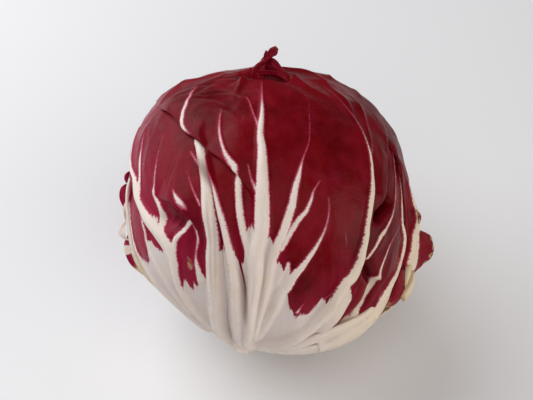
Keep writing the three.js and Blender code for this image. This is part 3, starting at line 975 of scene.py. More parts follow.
# Painted shade: dark paint along the hollow beside the big rib and the deepest creases, in place of their
# shadow.
RIGHT_PAINTED_SHADES = [  # directions, width in mm, strength
    ([(57.5, 100), (52.5, 97.8), (48, 96), (45, 95)], 2.2, [0.6, 1.0, 1.0, 0.6]),
    ([(39, 80), (41, 77), (43.5, 73), (45, 70.5)], 2.2, [0.7, 1.0, 0.8]),
    ([(47.6, 70.3), (45.4, 67), (43.4, 63.2), (41.6, 58.8)], 2.0, [0.5, 0.5, 0.4]),
    ([(48.6, 70), (46.6, 65.5), (45, 61), (43, 57)], 0.9, [0.9, 0.9, 0.5]),
]
right_leaf = Leaf(
    "right_leaf", 98, top=170, half_width=56, rows=170, columns=165,
    left=[(40, 165), (30, 140), (26, 110), (26, 80), (24, 60), (24, 40), (50, 16)],
    right=[(160, 165), (152, 130), (150, 100), (146, 70), (140, 40), (135, 16)],
    veins=RIGHT_RIBS,
    creases=RIGHT_CREASES,
    pale_from=[(-180, 70), (30, 52), (35, 56), (38, 55), (40, 57), (42.5, 55), (45, 53.5), (48, 54.5),
        (51, 56), (53, 56), (57, 52), (62, 49), (70, 48), (78, 54), (90, 72), (120, 84), (180, 80)],
    dry=[(56, 58, 3, 0.25), (66, 72, 4, 0.22), (62, 66, 4, 0.24)],
    painted_shades=RIGHT_PAINTED_SHADES,
)
print(right_leaf.name, "has", len(RIGHT_RIBS), "ribs and", len(RIGHT_CREASES), "creases")

# %% [markdown]
# ## The leaves of the far side
# Three leaves close the back and the flank that the head lies on. Each has a straight midrib and two pairs
# of side ribs, which all thicken in the same way on their way to the stem.

# %% Back leaves
UPPER_PAIR = [0.3, 0.7, 1.4, 2.2]  # half widths of the side ribs in mm
LOWER_PAIR = [0.3, 0.6, 1.2, 2.0]
UNDER_PAIR = [0.3, 0.8, 1.5, 2.3]
back_left = Leaf(
    "back_left_leaf", -136, top=176, half_width=58, rows=120, columns=120,
    veins=[
        ([(-136, 165), (-136, 140), (-136, 110), (-136, 80), (-136, 40)], [0.2, 0.6, 1.6, 2.8, 4], 2.0),
        ([(-168, 140), (-162, 118), (-152, 95), (-142, 70)], UPPER_PAIR, 1.2),
        ([(-104, 145), (-110, 122), (-120, 98), (-130, 72)], UPPER_PAIR, 1.2),
        ([(-178, 112), (-170, 95), (-158, 75), (-146, 55)], LOWER_PAIR, 1.1),
        ([(-92, 112), (-102, 94), (-114, 74), (-126, 54)], LOWER_PAIR, 1.1),
    ],
    pale_from=[(-180, 78), (-160, 86), (-145, 72), (-130, 84), (-110, 90), (-90, 84), (180, 78)],
)
back_right = Leaf(
    "back_right_leaf", 134, top=172, half_width=58, rows=120, columns=120,
    veins=[
        ([(136, 162), (136, 138), (135, 110), (134, 80), (134, 40)], [0.2, 0.6, 1.6, 2.8, 4], 2.0),
        ([(168, 138), (162, 116), (152, 94), (142, 70)], UPPER_PAIR, 1.2),
        ([(106, 144), (112, 122), (122, 98), (130, 72)], UPPER_PAIR, 1.2),
        ([(176, 108), (168, 92), (156, 73), (146, 55)], LOWER_PAIR, 1.1),
        ([(96, 110), (106, 92), (116, 74), (126, 54)], LOWER_PAIR, 1.1),
    ],
    pale_from=[(-180, 76), (90, 76), (110, 88), (125, 80), (134, 70), (145, 84), (160, 90), (180, 76)],
)
underside = Leaf(
    "underside_leaf", 180, top=184, half_width=58, rows=130, columns=130,
    veins=[
        ([(180, 168), (178, 140), (180, 110), (182, 80), (180, 40)], [0.2, 0.7, 1.8, 3.0, 4.2], 2.0),
        ([(148, 146), (154, 122), (164, 98), (174, 72)], UNDER_PAIR, 1.2),
        ([(212, 142), (206, 120), (196, 96), (186, 72)], UNDER_PAIR, 1.2),
        ([(136, 112), (146, 94), (160, 74), (172, 54)], LOWER_PAIR, 1.1),
        ([(224, 110), (214, 92), (200, 73), (188, 54)], LOWER_PAIR, 1.1),
    ],
    pale_from=[(-180, 70), (-160, 84), (-140, 80), (0, 80), (140, 80), (160, 86), (180, 70)],
)
print("the far side has", len(back_left.veins + back_right.veins + underside.veins), "ribs")

# %% [markdown]
# ## The left leaf: ribs
# The left leaf has a broad grooved midrib, and a second trunk that forks again and again along its left
# margin. The last rows are faint: the thin ends of ribs that fade into the red.

# %% Ribs of the left leaf
LEFT_RIBS = [
    ([(-38, 155), (-33, 136.5), (-29.5, 131.5), (-23, 120), (-20.5, 108.5), (-19.5, 97), (-21, 84.5),
      (-23.5, 68.5), (-28, 54), (-34, 36)], [0.5, 1.5, 1.8, 2, 2.3, 2.5, 2.6, 2.7, 2.8, 3], 2.6),
    ([(-96, 128), (-85, 120.5), (-77, 116.5), (-70.5, 114.8), (-66.5, 113), (-63, 110), (-58, 106.3),
      (-54.2, 103.6), (-51.5, 101.8), (-48, 99.6), (-44.5, 97.3), (-41.8, 95), (-39.4, 92.2), (-38.2, 89.5),
      (-37.8, 86.5), (-37.9, 83), (-38, 79), (-37.6, 75), (-37.2, 70), (-36, 61), (-34, 50), (-34, 32)],
      [0.5, 0.8, 1.1, 1.3, 1.8, 2.3, 1.9, 2.4, 2.8, 3.0, 3.2, 3.2, 3.2, 2.7, 2.5, 2.1, 2.0, 2.0, 2.0, 2.1,
      2.2, 2.4], 1.5),
    ([(-78, 131), (-72, 124.5), (-68.3, 120.5), (-64.3, 116.3), (-62, 112.5), (-60.5, 109.5)], [0.2, 0.6,
      0.9, 1.0, 1.1, 1.2], 1.1),
    ([(-60, 136), (-55, 127), (-51.5, 119.5), (-50, 115.8), (-49.5, 112.8), (-48.6, 110.8), (-46.7, 109.2),
      (-44.9, 107.5), (-43.8, 105.3), (-43.6, 103), (-43.3, 100), (-42, 96)], [0, 0.2, 0.5, 0.55, 0.8, 0.85,
      0.9, 1.1, 1.25, 1.3, 1.4, 1.4], 1.1),
    ([(-29.2, 103.4), (-31.5, 101.2), (-33.8, 98.9), (-35.6, 96.8), (-36.4, 94.6), (-37, 91.5),
      (-37.3, 88)], [0.9, 1.05, 1.05, 1.1, 1.2, 1.4, 1.5], 1.4),
    ([(-36.4, 114.6), (-34.6, 112.6), (-32.2, 110.9), (-30, 109.5), (-28.6, 108.4)], [0.35, 0.65, 0.8, 0.6,
      0.2], 1.0),
    ([(-31, 110), (-29.8, 106.2), (-28.2, 103), (-26.8, 100.2), (-26, 97.6), (-26.5, 94.5), (-27.3, 91),
      (-27.4, 88), (-27.1, 85), (-26.8, 81)], [0, 0.2, 0.4, 0.5, 0.65, 0.55, 0.5, 0.8, 1.1, 1.5], 0.9),
    ([(-24.5, 123), (-30, 126.5), (-35, 130)], [0.8, 0.5, 0.3], 0.7),
    ([(-33, 122), (-29, 117), (-24, 110)], [0.1, 0.25, 0.5], 0.6),
]

# %% [markdown]
# ## The left leaf: fold, groove and painted shade
# One fold runs across the leaf, where a flap of it was pushed over the hollow below. The first crease is
# the groove of the midrib. The others are dents under the fold and long soft wrinkles of the blade. The
# painted shade darkens the paint under both folds and along the groove, in place of their shadow.

# %% Folds and creases of the left leaf
LEFT_FOLDS = [  # directions, heights, reach in mm, raised side, run-up in mm
    ([(-47, 111), (-44.2, 110.6), (-40.2, 110.2), (-36.8, 110.2), (-34.6, 109.2), (-32.2, 108),
      (-29.2, 106.4), (-27.4, 104.7), (-26.5, 102.6), (-25.8, 100.2), (-25.5, 97)], [0.3, 0.9, 1.9, 2.8,
      3.4, 3.6, 3.4, 3.0, 2.2, 1.2, 0.3], 14, 1, 0.7),
]
LEFT_CREASES = [
    ([(-18.8, 114), (-18.2, 105), (-18.3, 96), (-19.3, 86), (-21.5, 74)], [-0.2, -0.9, -1.1, -0.9, -0.2],
      0.6),
    ([(-42, 108.2), (-38.8, 107.4), (-35, 105.2), (-31.5, 103.4)], [-0.3, -1.8, -3.2, -1.0], 1.5),
    ([(-33, 104), (-35, 102), (-37.5, 99)], [1.2, 1.4, 0.3], 0.9),
    ([(-36, 106), (-39, 103.5), (-41, 102)], [0.8, 0.7, 0.2], 0.9),
    ([(-52, 128), (-50, 118), (-48, 111)], [0.2, 0.6, 0.2], 1.5),
    ([(-70, 138), (-66, 128), (-61, 118)], [0.2, 0.7, 0.2], 1.8),
    ([(-82, 138), (-78, 128), (-73, 120)], [0.2, 0.7, 0.2], 1.8),
    ([(-76.7, 140.4), (-68.8, 136.6), (-60, 133)], [0.2, 0.6, 0.2], 0.8),
    ([(-62.4, 139), (-57, 135), (-50, 130.4)], [0.2, 0.7, 0.2], 0.8),
    ([(-76.4, 134), (-68, 129.8), (-60.8, 126)], [0.2, 0.5, 0.2], 0.8),
    ([(-47, 133), (-43, 128), (-38, 120)], [0.2, 0.6, 0.2], 0.9),
]
# Painted shade: dark paint under the front leaf's fold, under this leaf's flap and along its midrib groove.
LEFT_PAINTED_SHADES = [
    ([(-34, 129), (-29, 126), (-24, 122.8), (-18.5, 118.5), (-14, 114), (-11.5, 108)], 3.0, [0.2, 0.8, 0.9,
      0.9, 0.5]),
    ([(-44, 108.8), (-39.8, 107.6), (-35.6, 105.4), (-31.8, 103.2)], 1.9, [0.2, 0.45, 0.65, 0.6]),
    ([(-33, 104.5), (-36, 101), (-39, 97.5)], 0.9, [0.9, 0.6, 0.1]),
    ([(-36, 106), (-39, 102.8), (-41.5, 100)], 0.8, [0.9, 0.5, 0.1]),
    ([(-18.8, 112), (-18.3, 104), (-18.4, 96), (-19.4, 86), (-21.6, 74)], 0.7, [0.2, 0.45, 0.45, 0.2]),
    ([(-21.5, 118), (-20.3, 108.5), (-20, 97), (-21.3, 84.5), (-23.6, 70)], 0.8, [0.05, 0.5, 0.5, 0.15]),
]
left_leaf = Leaf(
    "left_leaf", -45, top=172, half_width=52, rows=200, columns=150,
    left=[(-100, 168), (-108, 150), (-106, 135), (-98, 122), (-88, 115.5), (-78, 112.3), (-71.5, 110.8),
        (-66.8, 108.3), (-60, 105.2), (-56.8, 102.4), (-54.1, 100.2), (-50.4, 98), (-47.6, 95.8),
        (-45, 93.7), (-43, 91.2), (-41.3, 88.7), (-40.5, 85.6), (-40.2, 82), (-40.2, 78), (-40, 74),
        (-39.7, 68), (-38.5, 60), (-37, 50), (-38, 32), (-46, 16)],
    veins=LEFT_RIBS,
    folds=LEFT_FOLDS,
    creases=LEFT_CREASES,
    pale_from=[(-180, 92), (-95, 92), (-58, 95), (-53, 100), (-50, 103), (-46, 103), (-44, 98), (-40, 90),
        (-38.5, 80), (-37, 77), (-36, 75.6), (-35, 78.4), (-33.8, 80.5), (-32.6, 76.4), (-31.4, 75.6),
        (-30.2, 79), (-29, 78), (-28.2, 83), (-27.5, 87.5), (-26, 84), (-24.6, 81), (-23.9, 82.5),
        (-22.8, 94), (-10, 92), (180, 92)],
    dry=[(-30.2, 86.3, 1.9, 0.36), (-30.4, 89.5, 1.6, 0.26)],
    painted_shades=LEFT_PAINTED_SHADES,
)
print(left_leaf.name, "has", len(LEFT_RIBS), "ribs and", len(LEFT_CREASES), "creases")

# %% [markdown]
# ## The front leaf: ribs
# The front leaf covers the middle of the head and runs over the crown. Its midrib rises from the stem to
# the crown, and side ribs leave it on both sides like the fingers of a hand.

# %% Ribs of the front leaf
FRONT_RIBS = [
    ([(13.5, 166.5), (7.5, 157), (4.5, 146), (2, 136.5), (2, 129.5), (1, 117.5), (0, 108), (-1, 100),
      (-3.5, 92), (-4.5, 83), (-8, 69.5), (-12, 55), (-18, 41.5), (-20, 24)], [0, 0.3, 0.8, 1.2, 1.6, 2.3,
      2.8, 2.9, 2.6, 2.4, 2.4, 2.5, 2.7, 3.0], 2.8),
    ([(-66, 157), (-61, 153), (-54.5, 148), (-52.5, 144.5), (-48.5, 140.5), (-45, 138.5), (-38.5, 136.5)],
      [0.2, 0.5, 0.65, 0.75, 0.9, 0.8, 0.3], 0.8),
    ([(-13.5, 156), (-6, 155), (-1.5, 147), (1, 141), (2, 136.5)], [0.1, 0.2, 0.3, 0.5, 0.8], 0.8),
    ([(-4.5, 124.5), (-3.5, 119.5), (-2, 116), (-0.5, 112.5)], [0.2, 0.4, 0.6, 0.9], 0.9),
    ([(50, 158), (43, 149.5), (32.5, 140), (26, 131), (20, 124.5), (16, 118), (13.5, 113.5), (11.3, 108),
      (9.3, 104), (6.8, 98.5), (4.8, 95.3), (3, 91), (1.5, 87), (0.3, 83), (-0.6, 79.5), (-1.7, 75.5),
      (-3, 71.5), (-6.5, 61), (-11, 48)], [0, 0, 0.08, 0.16, 0.35, 0.9, 1.2, 1.5, 1.6, 1.7, 1.7, 1.6, 1.5,
      1.5, 1.5, 1.5, 1.5, 1.6, 1.7], 1.9),
    ([(25, 115.5), (21, 112), (19.3, 109), (16.3, 105), (13.5, 103), (11.2, 100.5), (8.7, 97), (5.7, 92.5)],
      [0.2, 0.45, 0.65, 0.85, 0.95, 1.0, 1.0, 0.8], 1.0),
    ([(26.5, 109), (25.5, 104), (23, 98), (20, 93.5), (16.8, 89.5), (13, 85.5), (9.5, 82), (6.5, 77),
      (4, 73.8), (1.5, 67.5), (-1.5, 62), (-4.5, 55.5), (-10, 46)], [0.2, 0.35, 0.5, 0.7, 0.95, 1.2, 1.6,
      1.8, 1.8, 1.7, 1.6, 1.6, 1.6], 1.5),
    ([(7.8, 86.8), (7.2, 84), (6.2, 81), (5, 78.5)], [0.7, 1.1, 1.6, 2.0], 0.1),
    ([(13.2, 69), (11.8, 67.3), (10.3, 65)], [0.1, 0.35, 0.7], 0.1),
    ([(78, 155), (70, 148.5), (65, 140), (62.5, 133.5), (58.5, 126), (54.5, 118.5), (49.5, 110), (45, 103),
      (41.5, 96), (39.5, 90.5), (37.5, 86), (36, 81.5), (33, 77), (29.5, 74), (24.5, 65), (18, 55),
      (11, 49.5), (2.5, 43.5), (-7.5, 38.5), (-16, 28)], [0, 0.15, 0.25, 0.4, 0.5, 0.7, 0.9, 1.2, 1.3, 1.5,
      1.8, 2.3, 2.7, 2.7, 2.4, 2.3, 2.2, 2.2, 2.2, 2.4], 2.3),
    ([(75.5, 135), (66, 127.5), (61.5, 122.5), (55, 118)], [0, 0.2, 0.3, 0.45], 0.6),
    ([(31, 96.5), (31, 92), (31, 88.5)], [0.15, 0.3, 0.1], 0.4),
    ([(31, 79), (25, 72), (20, 66), (15, 60)], [0, 0.15, 0.2, 0.5], 0.5),
    ([(-25.5, 150.5), (-22.5, 144.5), (-20, 137.5), (-15.5, 130), (-12, 126), (-9.5, 123), (-9, 115.5),
      (-8.5, 106.5), (-7.3, 98), (-6.5, 93), (-6.1, 87), (-6.6, 80), (-7.4, 70), (-10.5, 58), (-15, 46)],
      [0, 0.3, 0.55, 0.65, 0.75, 0.9, 1.2, 1.4, 1.4, 1.4, 1.4, 1.3, 1.3, 1.4, 1.6], 1.7),
    ([(-26.5, 130.5), (-22.5, 123), (-19, 116.5), (-17, 110), (-15.3, 104), (-14, 97), (-12.9, 90),
      (-12.7, 82), (-13.6, 73), (-15.6, 62), (-19, 50), (-23, 36)], [0.1, 0.2, 0.6, 1.0, 1.3, 1.5, 1.7, 1.9,
      2.2, 2.4, 2.4, 2.4], 2.6),
]

# %% [markdown]
# ## The front leaf: folds and creases
# One fold rolls the left margin over, and a softer one crosses the shoulder above it. Grooves run between
# the ribs of the base, and the shoulders wrinkle where the leaf turns over the crown, because a flat leaf
# can't cover a ball without wrinkles.

# %% Folds and creases of the front leaf
FRONT_FOLDS = [
    ([(-26.5, 131.5), (-22.5, 129.5), (-17, 127), (-12.5, 123.5), (-9, 121), (-6.5, 117.5), (-4, 114),
      (-3.5, 109.5)], [0.7, 1.8, 2.6, 2.6, 2.2, 1.6, 0.9, 0.2], 16, 1, 0.7),
    ([(-60, 152), (-50, 155), (-44, 157.5), (-35, 159.5), (-22, 158)], [0.3, 1.0, 1.2, 1.0, 0.3], 5, 1,
      0.7),
]
FRONT_CREASES = [
    ([(-10.3, 89.5), (-9.7, 84), (-9.3, 78), (-9.6, 72), (-10.8, 65), (-12.4, 58)], [-0.4, -2.6, -4.0, -4.2,
      -3.2, -0.6], 1.5),
    ([(-4.5, 100), (-4, 92), (-3.5, 84), (-4, 74), (-6.5, 62), (-10, 50)], [-0.2, -0.6, -1.0, -1.2, -1.0,
      -0.3], 0.9),
    ([(1.8, 84), (0.2, 77), (-2.5, 68), (-5.5, 60), (-9, 50)], [-0.2, -0.9, -1.1, -0.9, -0.2], 0.9),
    ([(-18.5, 66), (-20.5, 57), (-24, 47), (-28, 38)], [-0.2, -0.8, -1.0, -0.4], 1.0),
    ([(-85.5, 141), (-87.5, 146), (-90, 150), (-97, 153), (-93.5, 158), (-86, 169.5)], [0.4, 1.2, 1.4, 1.4,
      1.2, 0.6], 1.8),
    ([(-61, 153), (-65, 155.5), (-67, 159.5), (-65, 163), (-71, 168)], [0.5, 1.3, 1.4, 1.2, 0.6], 1.6),
    ([(150, 178.5), (-18, 171.5), (-18.4, 166), (-18.4, 162.5), (-21, 156.5)], [0.2, 2.8, 3.0, 2.4, 0.6],
      1.2),
    ([(72, 176), (68, 168), (62, 160), (56, 150)], [1.6, 1.5, 0.9, 0.2], 1.6),
    ([(96, 172), (97.5, 158.5), (84.5, 152.5), (69.5, 141.5)], [1.6, 1.5, 1.0, 0.2], 1.8),
    ([(94, 146), (103, 144.6), (114, 143)], [-0.2, -1.3, -0.5], 1.3),
    ([(90, 136), (100, 138), (110, 139.5)], [0.2, 1.0, 0.4], 1.3),
    ([(92, 150), (104, 149.5), (116, 149)], [0.2, 1.0, 0.4], 1.4),
    ([(76.7, 146.6), (69.2, 139.3), (62.8, 133.3)], [0.2, 0.7, 0.2], 0.8),
    ([(84.7, 141), (75, 135), (68.3, 129.7), (61, 123.4)], [0.4, 1.1, 0.8, 0.2], 0.8),
    ([(-58, 148.6), (-49.7, 152), (-36, 154), (-24.6, 152)], [0.2, 0.7, 0.6, 0.2], 0.9),
    ([(-44.3, 145.8), (-33, 149.2), (-19, 147.5), (-10, 143.5)], [0.1, 0.4, 0.35, 0.1], 0.9),
    ([(-76.6, 143), (-73.3, 149.6), (-66.4, 157), (-46.4, 163)], [0.2, 0.8, 0.8, 0.2], 0.9),
    ([(-15.3, 144.5), (-12, 152), (-5, 161)], [0.1, 0.5, 0.3], 1.2),
    ([(-30, 160), (-25, 164.5), (-10, 169)], [0.3, 1.0, 0.5], 1.0),
]

# %% [markdown]
# ## The front leaf: painted shade and shape
# The painted shade follows the deepest grooves and the hollow round the crown, and darkens the paint there in
# place of their shadow. Small lifts raise parts of the blade off the leaves below, and a seam lets a line of
# red show between two ribs.

# %% Front leaf
# Painted shade: dark paint in the deepest grooves of the base and round the crown hollow, in place of their
# shadow.
FRONT_PAINTED_SHADES = [
    ([(-10.6, 89), (-9.9, 84), (-9.5, 78), (-9.8, 72), (-11, 65), (-12.4, 58)], 1.3, [0.3, 0.8, 0.9, 0.8,
      0.2]),
    ([(1.2, 97), (-0.3, 90), (-1.6, 82), (-3.4, 74), (-6, 64)], 0.8, [0.1, 0.35, 0.35, 0.1]),
    ([(-5, 97), (-4.9, 88), (-5.8, 78), (-7.2, 68)], 0.6, [0.1, 0.25, 0.25, 0.05]),
    ([(-86, 141.5), (-80, 150), (-74, 158), (-64, 166)], 2.2, [0.2, 0.5, 0.5, 0.2]),
    ([(100, 150), (88, 156), (72, 165), (50, 171)], 2.4, [0.1, 0.4, 0.5, 0.3]),
    ([(-60, 168), (-20, 169.5), (10, 169), (40, 168)], 2.6, [0.4, 0.8, 0.9, 0.4]),
]
front_leaf = Leaf(
    "front_leaf", 22, top=184, half_width=68, base_share=0.5, rows=235, columns=195, taut=60,
    top_line=[(-1, 206), (-0.6, 197), (-0.2, 188), (0.2, 181), (0.6, 178), (1, 175)],
    left=[(-100.5, 140), (-85.5, 141), (-73, 142), (-61, 142), (-48.5, 139), (-42.5, 137), (-38.5, 136.2),
        (-32.5, 134), (-26.5, 131.5), (-24.5, 127), (-21, 119.5), (-18.5, 112.5), (-17, 105.5), (-16, 97.5),
        (-16.5, 89), (-17, 80), (-18.5, 69), (-22, 58), (-25, 46), (-30, 32), (-38, 16)],
    right=[(110, 165), (107, 150), (105, 141.5), (102, 133), (92, 127), (80.5, 122), (70.5, 115.5),
        (62.5, 109.5), (54.5, 102), (49.5, 97), (44, 94), (42.5, 91), (40, 85), (39.5, 78), (37, 70),
        (34, 63.5), (31, 58), (27, 53), (22, 48.5), (17, 45), (11, 41.5), (3, 37.5), (-6, 30), (-10, 16)],
    veins=FRONT_RIBS,
    folds=FRONT_FOLDS,
    creases=FRONT_CREASES,
    lifts=[(-66, 146, 8, 2.2), (-40, 143, 8, 1.2), (-24, 141, 9, 1.0), (-110, 150, 6, 1.5),
        (52, 103, 5, 1.2), (150, 167, 4, 2.6), (110, 150, 5, 1.0), (14, 165, 8, 2.4)],
    seams=[([(-10.2, 89.5), (-9.6, 84), (-9.2, 78), (-9.4, 73)], [0.2, 0.35, 0.3, 0.05])],
    pale_from=[(-180, 94), (-20, 94), (-12, 94), (-11, 91), (-9.5, 88), (-8.5, 88), (-7.5, 97), (-6, 102),
        (-4.5, 102.5), (-3, 100), (1, 98), (2, 97), (2.8, 95.5), (3.4, 88.5), (5, 87), (6.2, 83), (6.7, 76),
        (6.9, 68), (8.5, 66), (9.3, 62), (12.2, 63.5), (15, 62.5), (18, 64.5), (19.8, 67.5), (21.5, 69),
        (22.5, 67), (24, 69.5), (26, 72.5), (27.5, 74.5), (31.5, 76), (34, 68), (36, 62), (60, 66),
        (180, 66)],
    dry=[(-14.2, 88, 1.2, 0.4), (-14.2, 85.6, 1.2, 0.4), (-14.3, 83.2, 1.2, 0.42), (-14.4, 80.6, 1.2, 0.42),
        (-14.6, 78, 1.2, 0.42), (-14.9, 75.4, 1.2, 0.36), (-15.4, 72.8, 1.2, 0.25), (19.5, 53, 0.9, 0.5)],
    painted_shades=FRONT_PAINTED_SHADES,
)
print(front_leaf.name, "has", len(FRONT_RIBS), "ribs and", len(FRONT_CREASES), "creases")

# %% [markdown]
# ## Two snapped leaves
# The two outermost leaves were broken off in the kitchen. On the right a thick rim and a flared lobe are
# left, and on the left a few thin shreds. They are leaves like the others, with short ragged tops and with
# margins that are lifted off the head.

# %% Broken leaves
broken_right = Leaf(
    "broken_leaf_right", 78, top=98, rows=170, columns=90, blade=0.6, heel=0.3,
    top_line=[(-1, 113), (-0.3, 111), (0.3, 107), (1, 101)],
    left=[(74, 113), (72, 104), (71, 96), (73, 88), (76, 81), (76.5, 74), (75.5, 67), (75, 60), (76, 50),
        (79, 36), (82, 16)],
    right=[(78, 113), (80, 104), (81.5, 94), (82, 88), (82, 82.5), (83, 80.5), (85.5, 78.8), (87.6, 76.8),
        (87.7, 74.5), (89, 72), (88.8, 69.5), (87.2, 67.4), (86.2, 65), (83.6, 62.5), (83, 59), (83.5, 54),
        (86, 46), (88, 36), (90, 16)],
    veins=[([(77.5, 100), (79, 93), (80, 86), (80, 81), (80, 77), (80, 73), (79.5, 69), (78.5, 66),
        (76, 62), (73, 56)], [0.6, 1.2, 1.6, 1.7, 1.9, 2.2, 2.4, 2.2, 1.0, 0.3], 1.6)],
    folds=[
        ([(72, 99), (73.5, 91), (75, 85), (76, 80), (76, 73), (75, 67), (73, 61), (70, 55)], [0.0, 0.8, 2.8,
          3.2, 3.8, 4.0, 3.0, 0.6], 60, 1, 5),
        ([(80, 83), (80.5, 80.5), (81, 78), (81, 75), (81, 72), (80.8, 69), (80.3, 66), (79.5, 63),
          (78, 60)], [0.2, 2.4, 6.4, 8.8, 9.6, 8.8, 6.2, 2.8, 0.2], 60, 1, 8),
    ],
    pale_from=[(-180, 62), (180, 62)],
    dry=[(85.8, 79, 0.8, 0.7), (87, 76.5, 0.9, 0.9), (87.5, 73.5, 0.9, 1.0), (87.6, 70.5, 1.0, 1.0),
        (86.6, 67.3, 0.9, 0.9), (85, 64.6, 0.8, 0.7), (77, 62, 3, 0.5), (80, 84, 2, 0.3)],
)
broken_left = Leaf(
    "broken_leaf_left", -97, top=108, half_width=15, base_share=0.4, tip_share=0.8, rows=110, columns=80,
    ragged=2.6, tip_round=6, blade=0.5, heel=0.2,
    veins=[
        ([(-92, 102), (-91, 92), (-89, 80), (-86, 64), (-82, 50)], [0.5, 0.9, 1.1, 1.4, 1.8], 0.9),
        ([(-85, 108), (-84, 98), (-82.5, 88), (-80, 78), (-76, 66), (-73, 54)], [0.9, 1.3, 1.5, 1.6, 1.8,
          2.0], 1.2),
    ],
    creases=[
        ([(-84, 102), (-84, 96), (-83, 90)], [1.2, 2.2, 1.0], 1.5),
        ([(-80, 90), (-79, 84), (-79, 78)], [0.6, 1.8, 1.0], 1.5),
    ],
    pale_from=[(-180, 90), (-90, 92), (-86, 84), (-80, 84), (-76, 70), (180, 78)],
    dry=[(-78, 76, 3, 1.0), (-80, 86, 2, 0.7), (-90, 104, 4, 0.6)],
)
print("the broken leaves end at", broken_right.top, "and", broken_left.top, "degrees")

# %% [markdown]
# ## Draping in order
# The order is the order of growth turned round: what lies outermost comes last. Only when all leaves are
# laid is the stack settled, and then each leaf becomes a piece.

# %% Drape the outer leaves
OUTER_LEAVES = (far_left, right_leaf, back_left, back_right, underside, left_leaf, front_leaf, broken_right,
                broken_left)
for leaf in OUTER_LEAVES:
    lay_leaf(leaf, stack)

settling = settling_table(stack)
print("the stack moves by", round(settling.min(), 1), "to", round(settling.max(), 1), "mm")
for leaf in stack:
    leaf_piece(leaf, settling, outer_finish)

# %% [markdown]
# ## Small swept pieces
# The withered tip at the crown and the stumps of snapped ribs are short strips. A curve with a bevel could
# draw them, but a strip needs a width, a thickness and a twist of its own at each point, so a flattened
# ring is swept along the path and its ends are closed.

# %% Swept strips
AROUND = 28
STRIP_STEPS = 14
THINNEST = 0.05  # mm
LOBE_COUNT, LOBE_START = 3, 0.6
FLOW_AROUND, FLOW_ALONG = 0.7, 0.1  # how fast the fibres' pattern changes on a strip


def plain_mesh(name, points, faces, fields, material):
    mesh = bpy.data.meshes.new(name)
    mesh.from_pydata(to_scene(points).tolist(), [], faces)
    mesh.polygons.foreach_set("use_smooth", np.ones(len(faces), bool))
    add_fields(mesh, fields)
    mesh.materials.append(material)
    return mesh


def swept_strip(name, facing, path, **sizes):
    """A closed strip through the path. Widths and thicknesses are half sizes in mm, twists are degrees."""
    order = ("widths", "thicknesses", "twists", "lobes", "white", "dry")
    share = np.linspace(0, 1, len(path))
    columns = [np.interp(share, np.linspace(0, 1, len(sizes[key])), sizes[key]) for key in order]
    table = smooth_line(np.column_stack([path] + columns), STRIP_STEPS)
    centre, width, thick, twist, lobe, pale, brown = (table[:, :3], *table[:, 3:].T)
    ahead = np.gradient(centre, axis=0)
    ahead /= np.linalg.norm(ahead, axis=1)[:, None]
    side = np.cross(np.array(facing, float), ahead)
    side /= np.linalg.norm(side, axis=1)[:, None]
    up = np.cross(ahead, side)
    angle = np.linspace(0, 2 * math.pi, AROUND, endpoint=False)[None, :]
    bulge = 1 + lobe[:, None] * np.cos(LOBE_COUNT * angle + LOBE_START)
    x = np.maximum(width, THINNEST)[:, None] * np.cos(angle) * bulge
    y = np.maximum(thick, THINNEST)[:, None] * np.sin(angle) * bulge
    turn = np.radians(twist)[:, None]
    x, y = x * np.cos(turn) - y * np.sin(turn), x * np.sin(turn) + y * np.cos(turn)
    rings = centre[:, None, :] + x[..., None] * side[:, None, :] + y[..., None] * up[:, None, :]
    count = len(centre)
    first, last = count * AROUND, count * AROUND + 1
    faces = []
    for i in range(count - 1):
        for j in range(AROUND):
            k = (j + 1) % AROUND
            faces.append((i * AROUND + j, i * AROUND + k, (i + 1) * AROUND + k, (i + 1) * AROUND + j))
    for j in range(AROUND):
        k = (j + 1) % AROUND
        faces.append((k, j, first))
        faces.append(((count - 1) * AROUND + j, (count - 1) * AROUND + k, last))
    fields = {"white": pale, "base": pale * 0 + FAR_IN_RED, "rib": smoothstep(pale, 0, 1), "dry": brown,
              "painted_shade": pale * 0}
    fields = {field: np.concatenate([np.repeat(v, AROUND), v[:1], v[-1:]]) for field, v in fields.items()}
    flow = np.stack([np.tile(np.arange(AROUND), count) * FLOW_AROUND,
                     np.repeat(np.arange(count), AROUND) * FLOW_ALONG, np.zeros(count * AROUND)], axis=1)
    fields["flow"] = np.concatenate([flow, np.zeros((2, 3))])
    points = np.vstack([rings.reshape(-1, 3), centre[:1], centre[-1:]])
    declare(name, plain_mesh(name, points, faces, fields, outer_finish), "red_leaf")


def strip_on_head(name, facing, places, **sizes):
    """A strip through places on the head: azimuth, polar angle, and mm proud of the outline."""
    path = []
    for azimuth, polar, proud in places:
        direction = towards(azimuth, polar)
        path.append(direction * (outline(direction) + proud))
    swept_strip(name, facing, path, **sizes)


# %% [markdown]
# ## The withered tip at the crown
# At the crown the tip of the underside leaf has dried and twisted into a short stalk, with a second lobe
# and a few folded bands round its foot. A strip's white field says whether it is red (below zero) or bare
# (above it), and its dry field how far it has turned to straw.

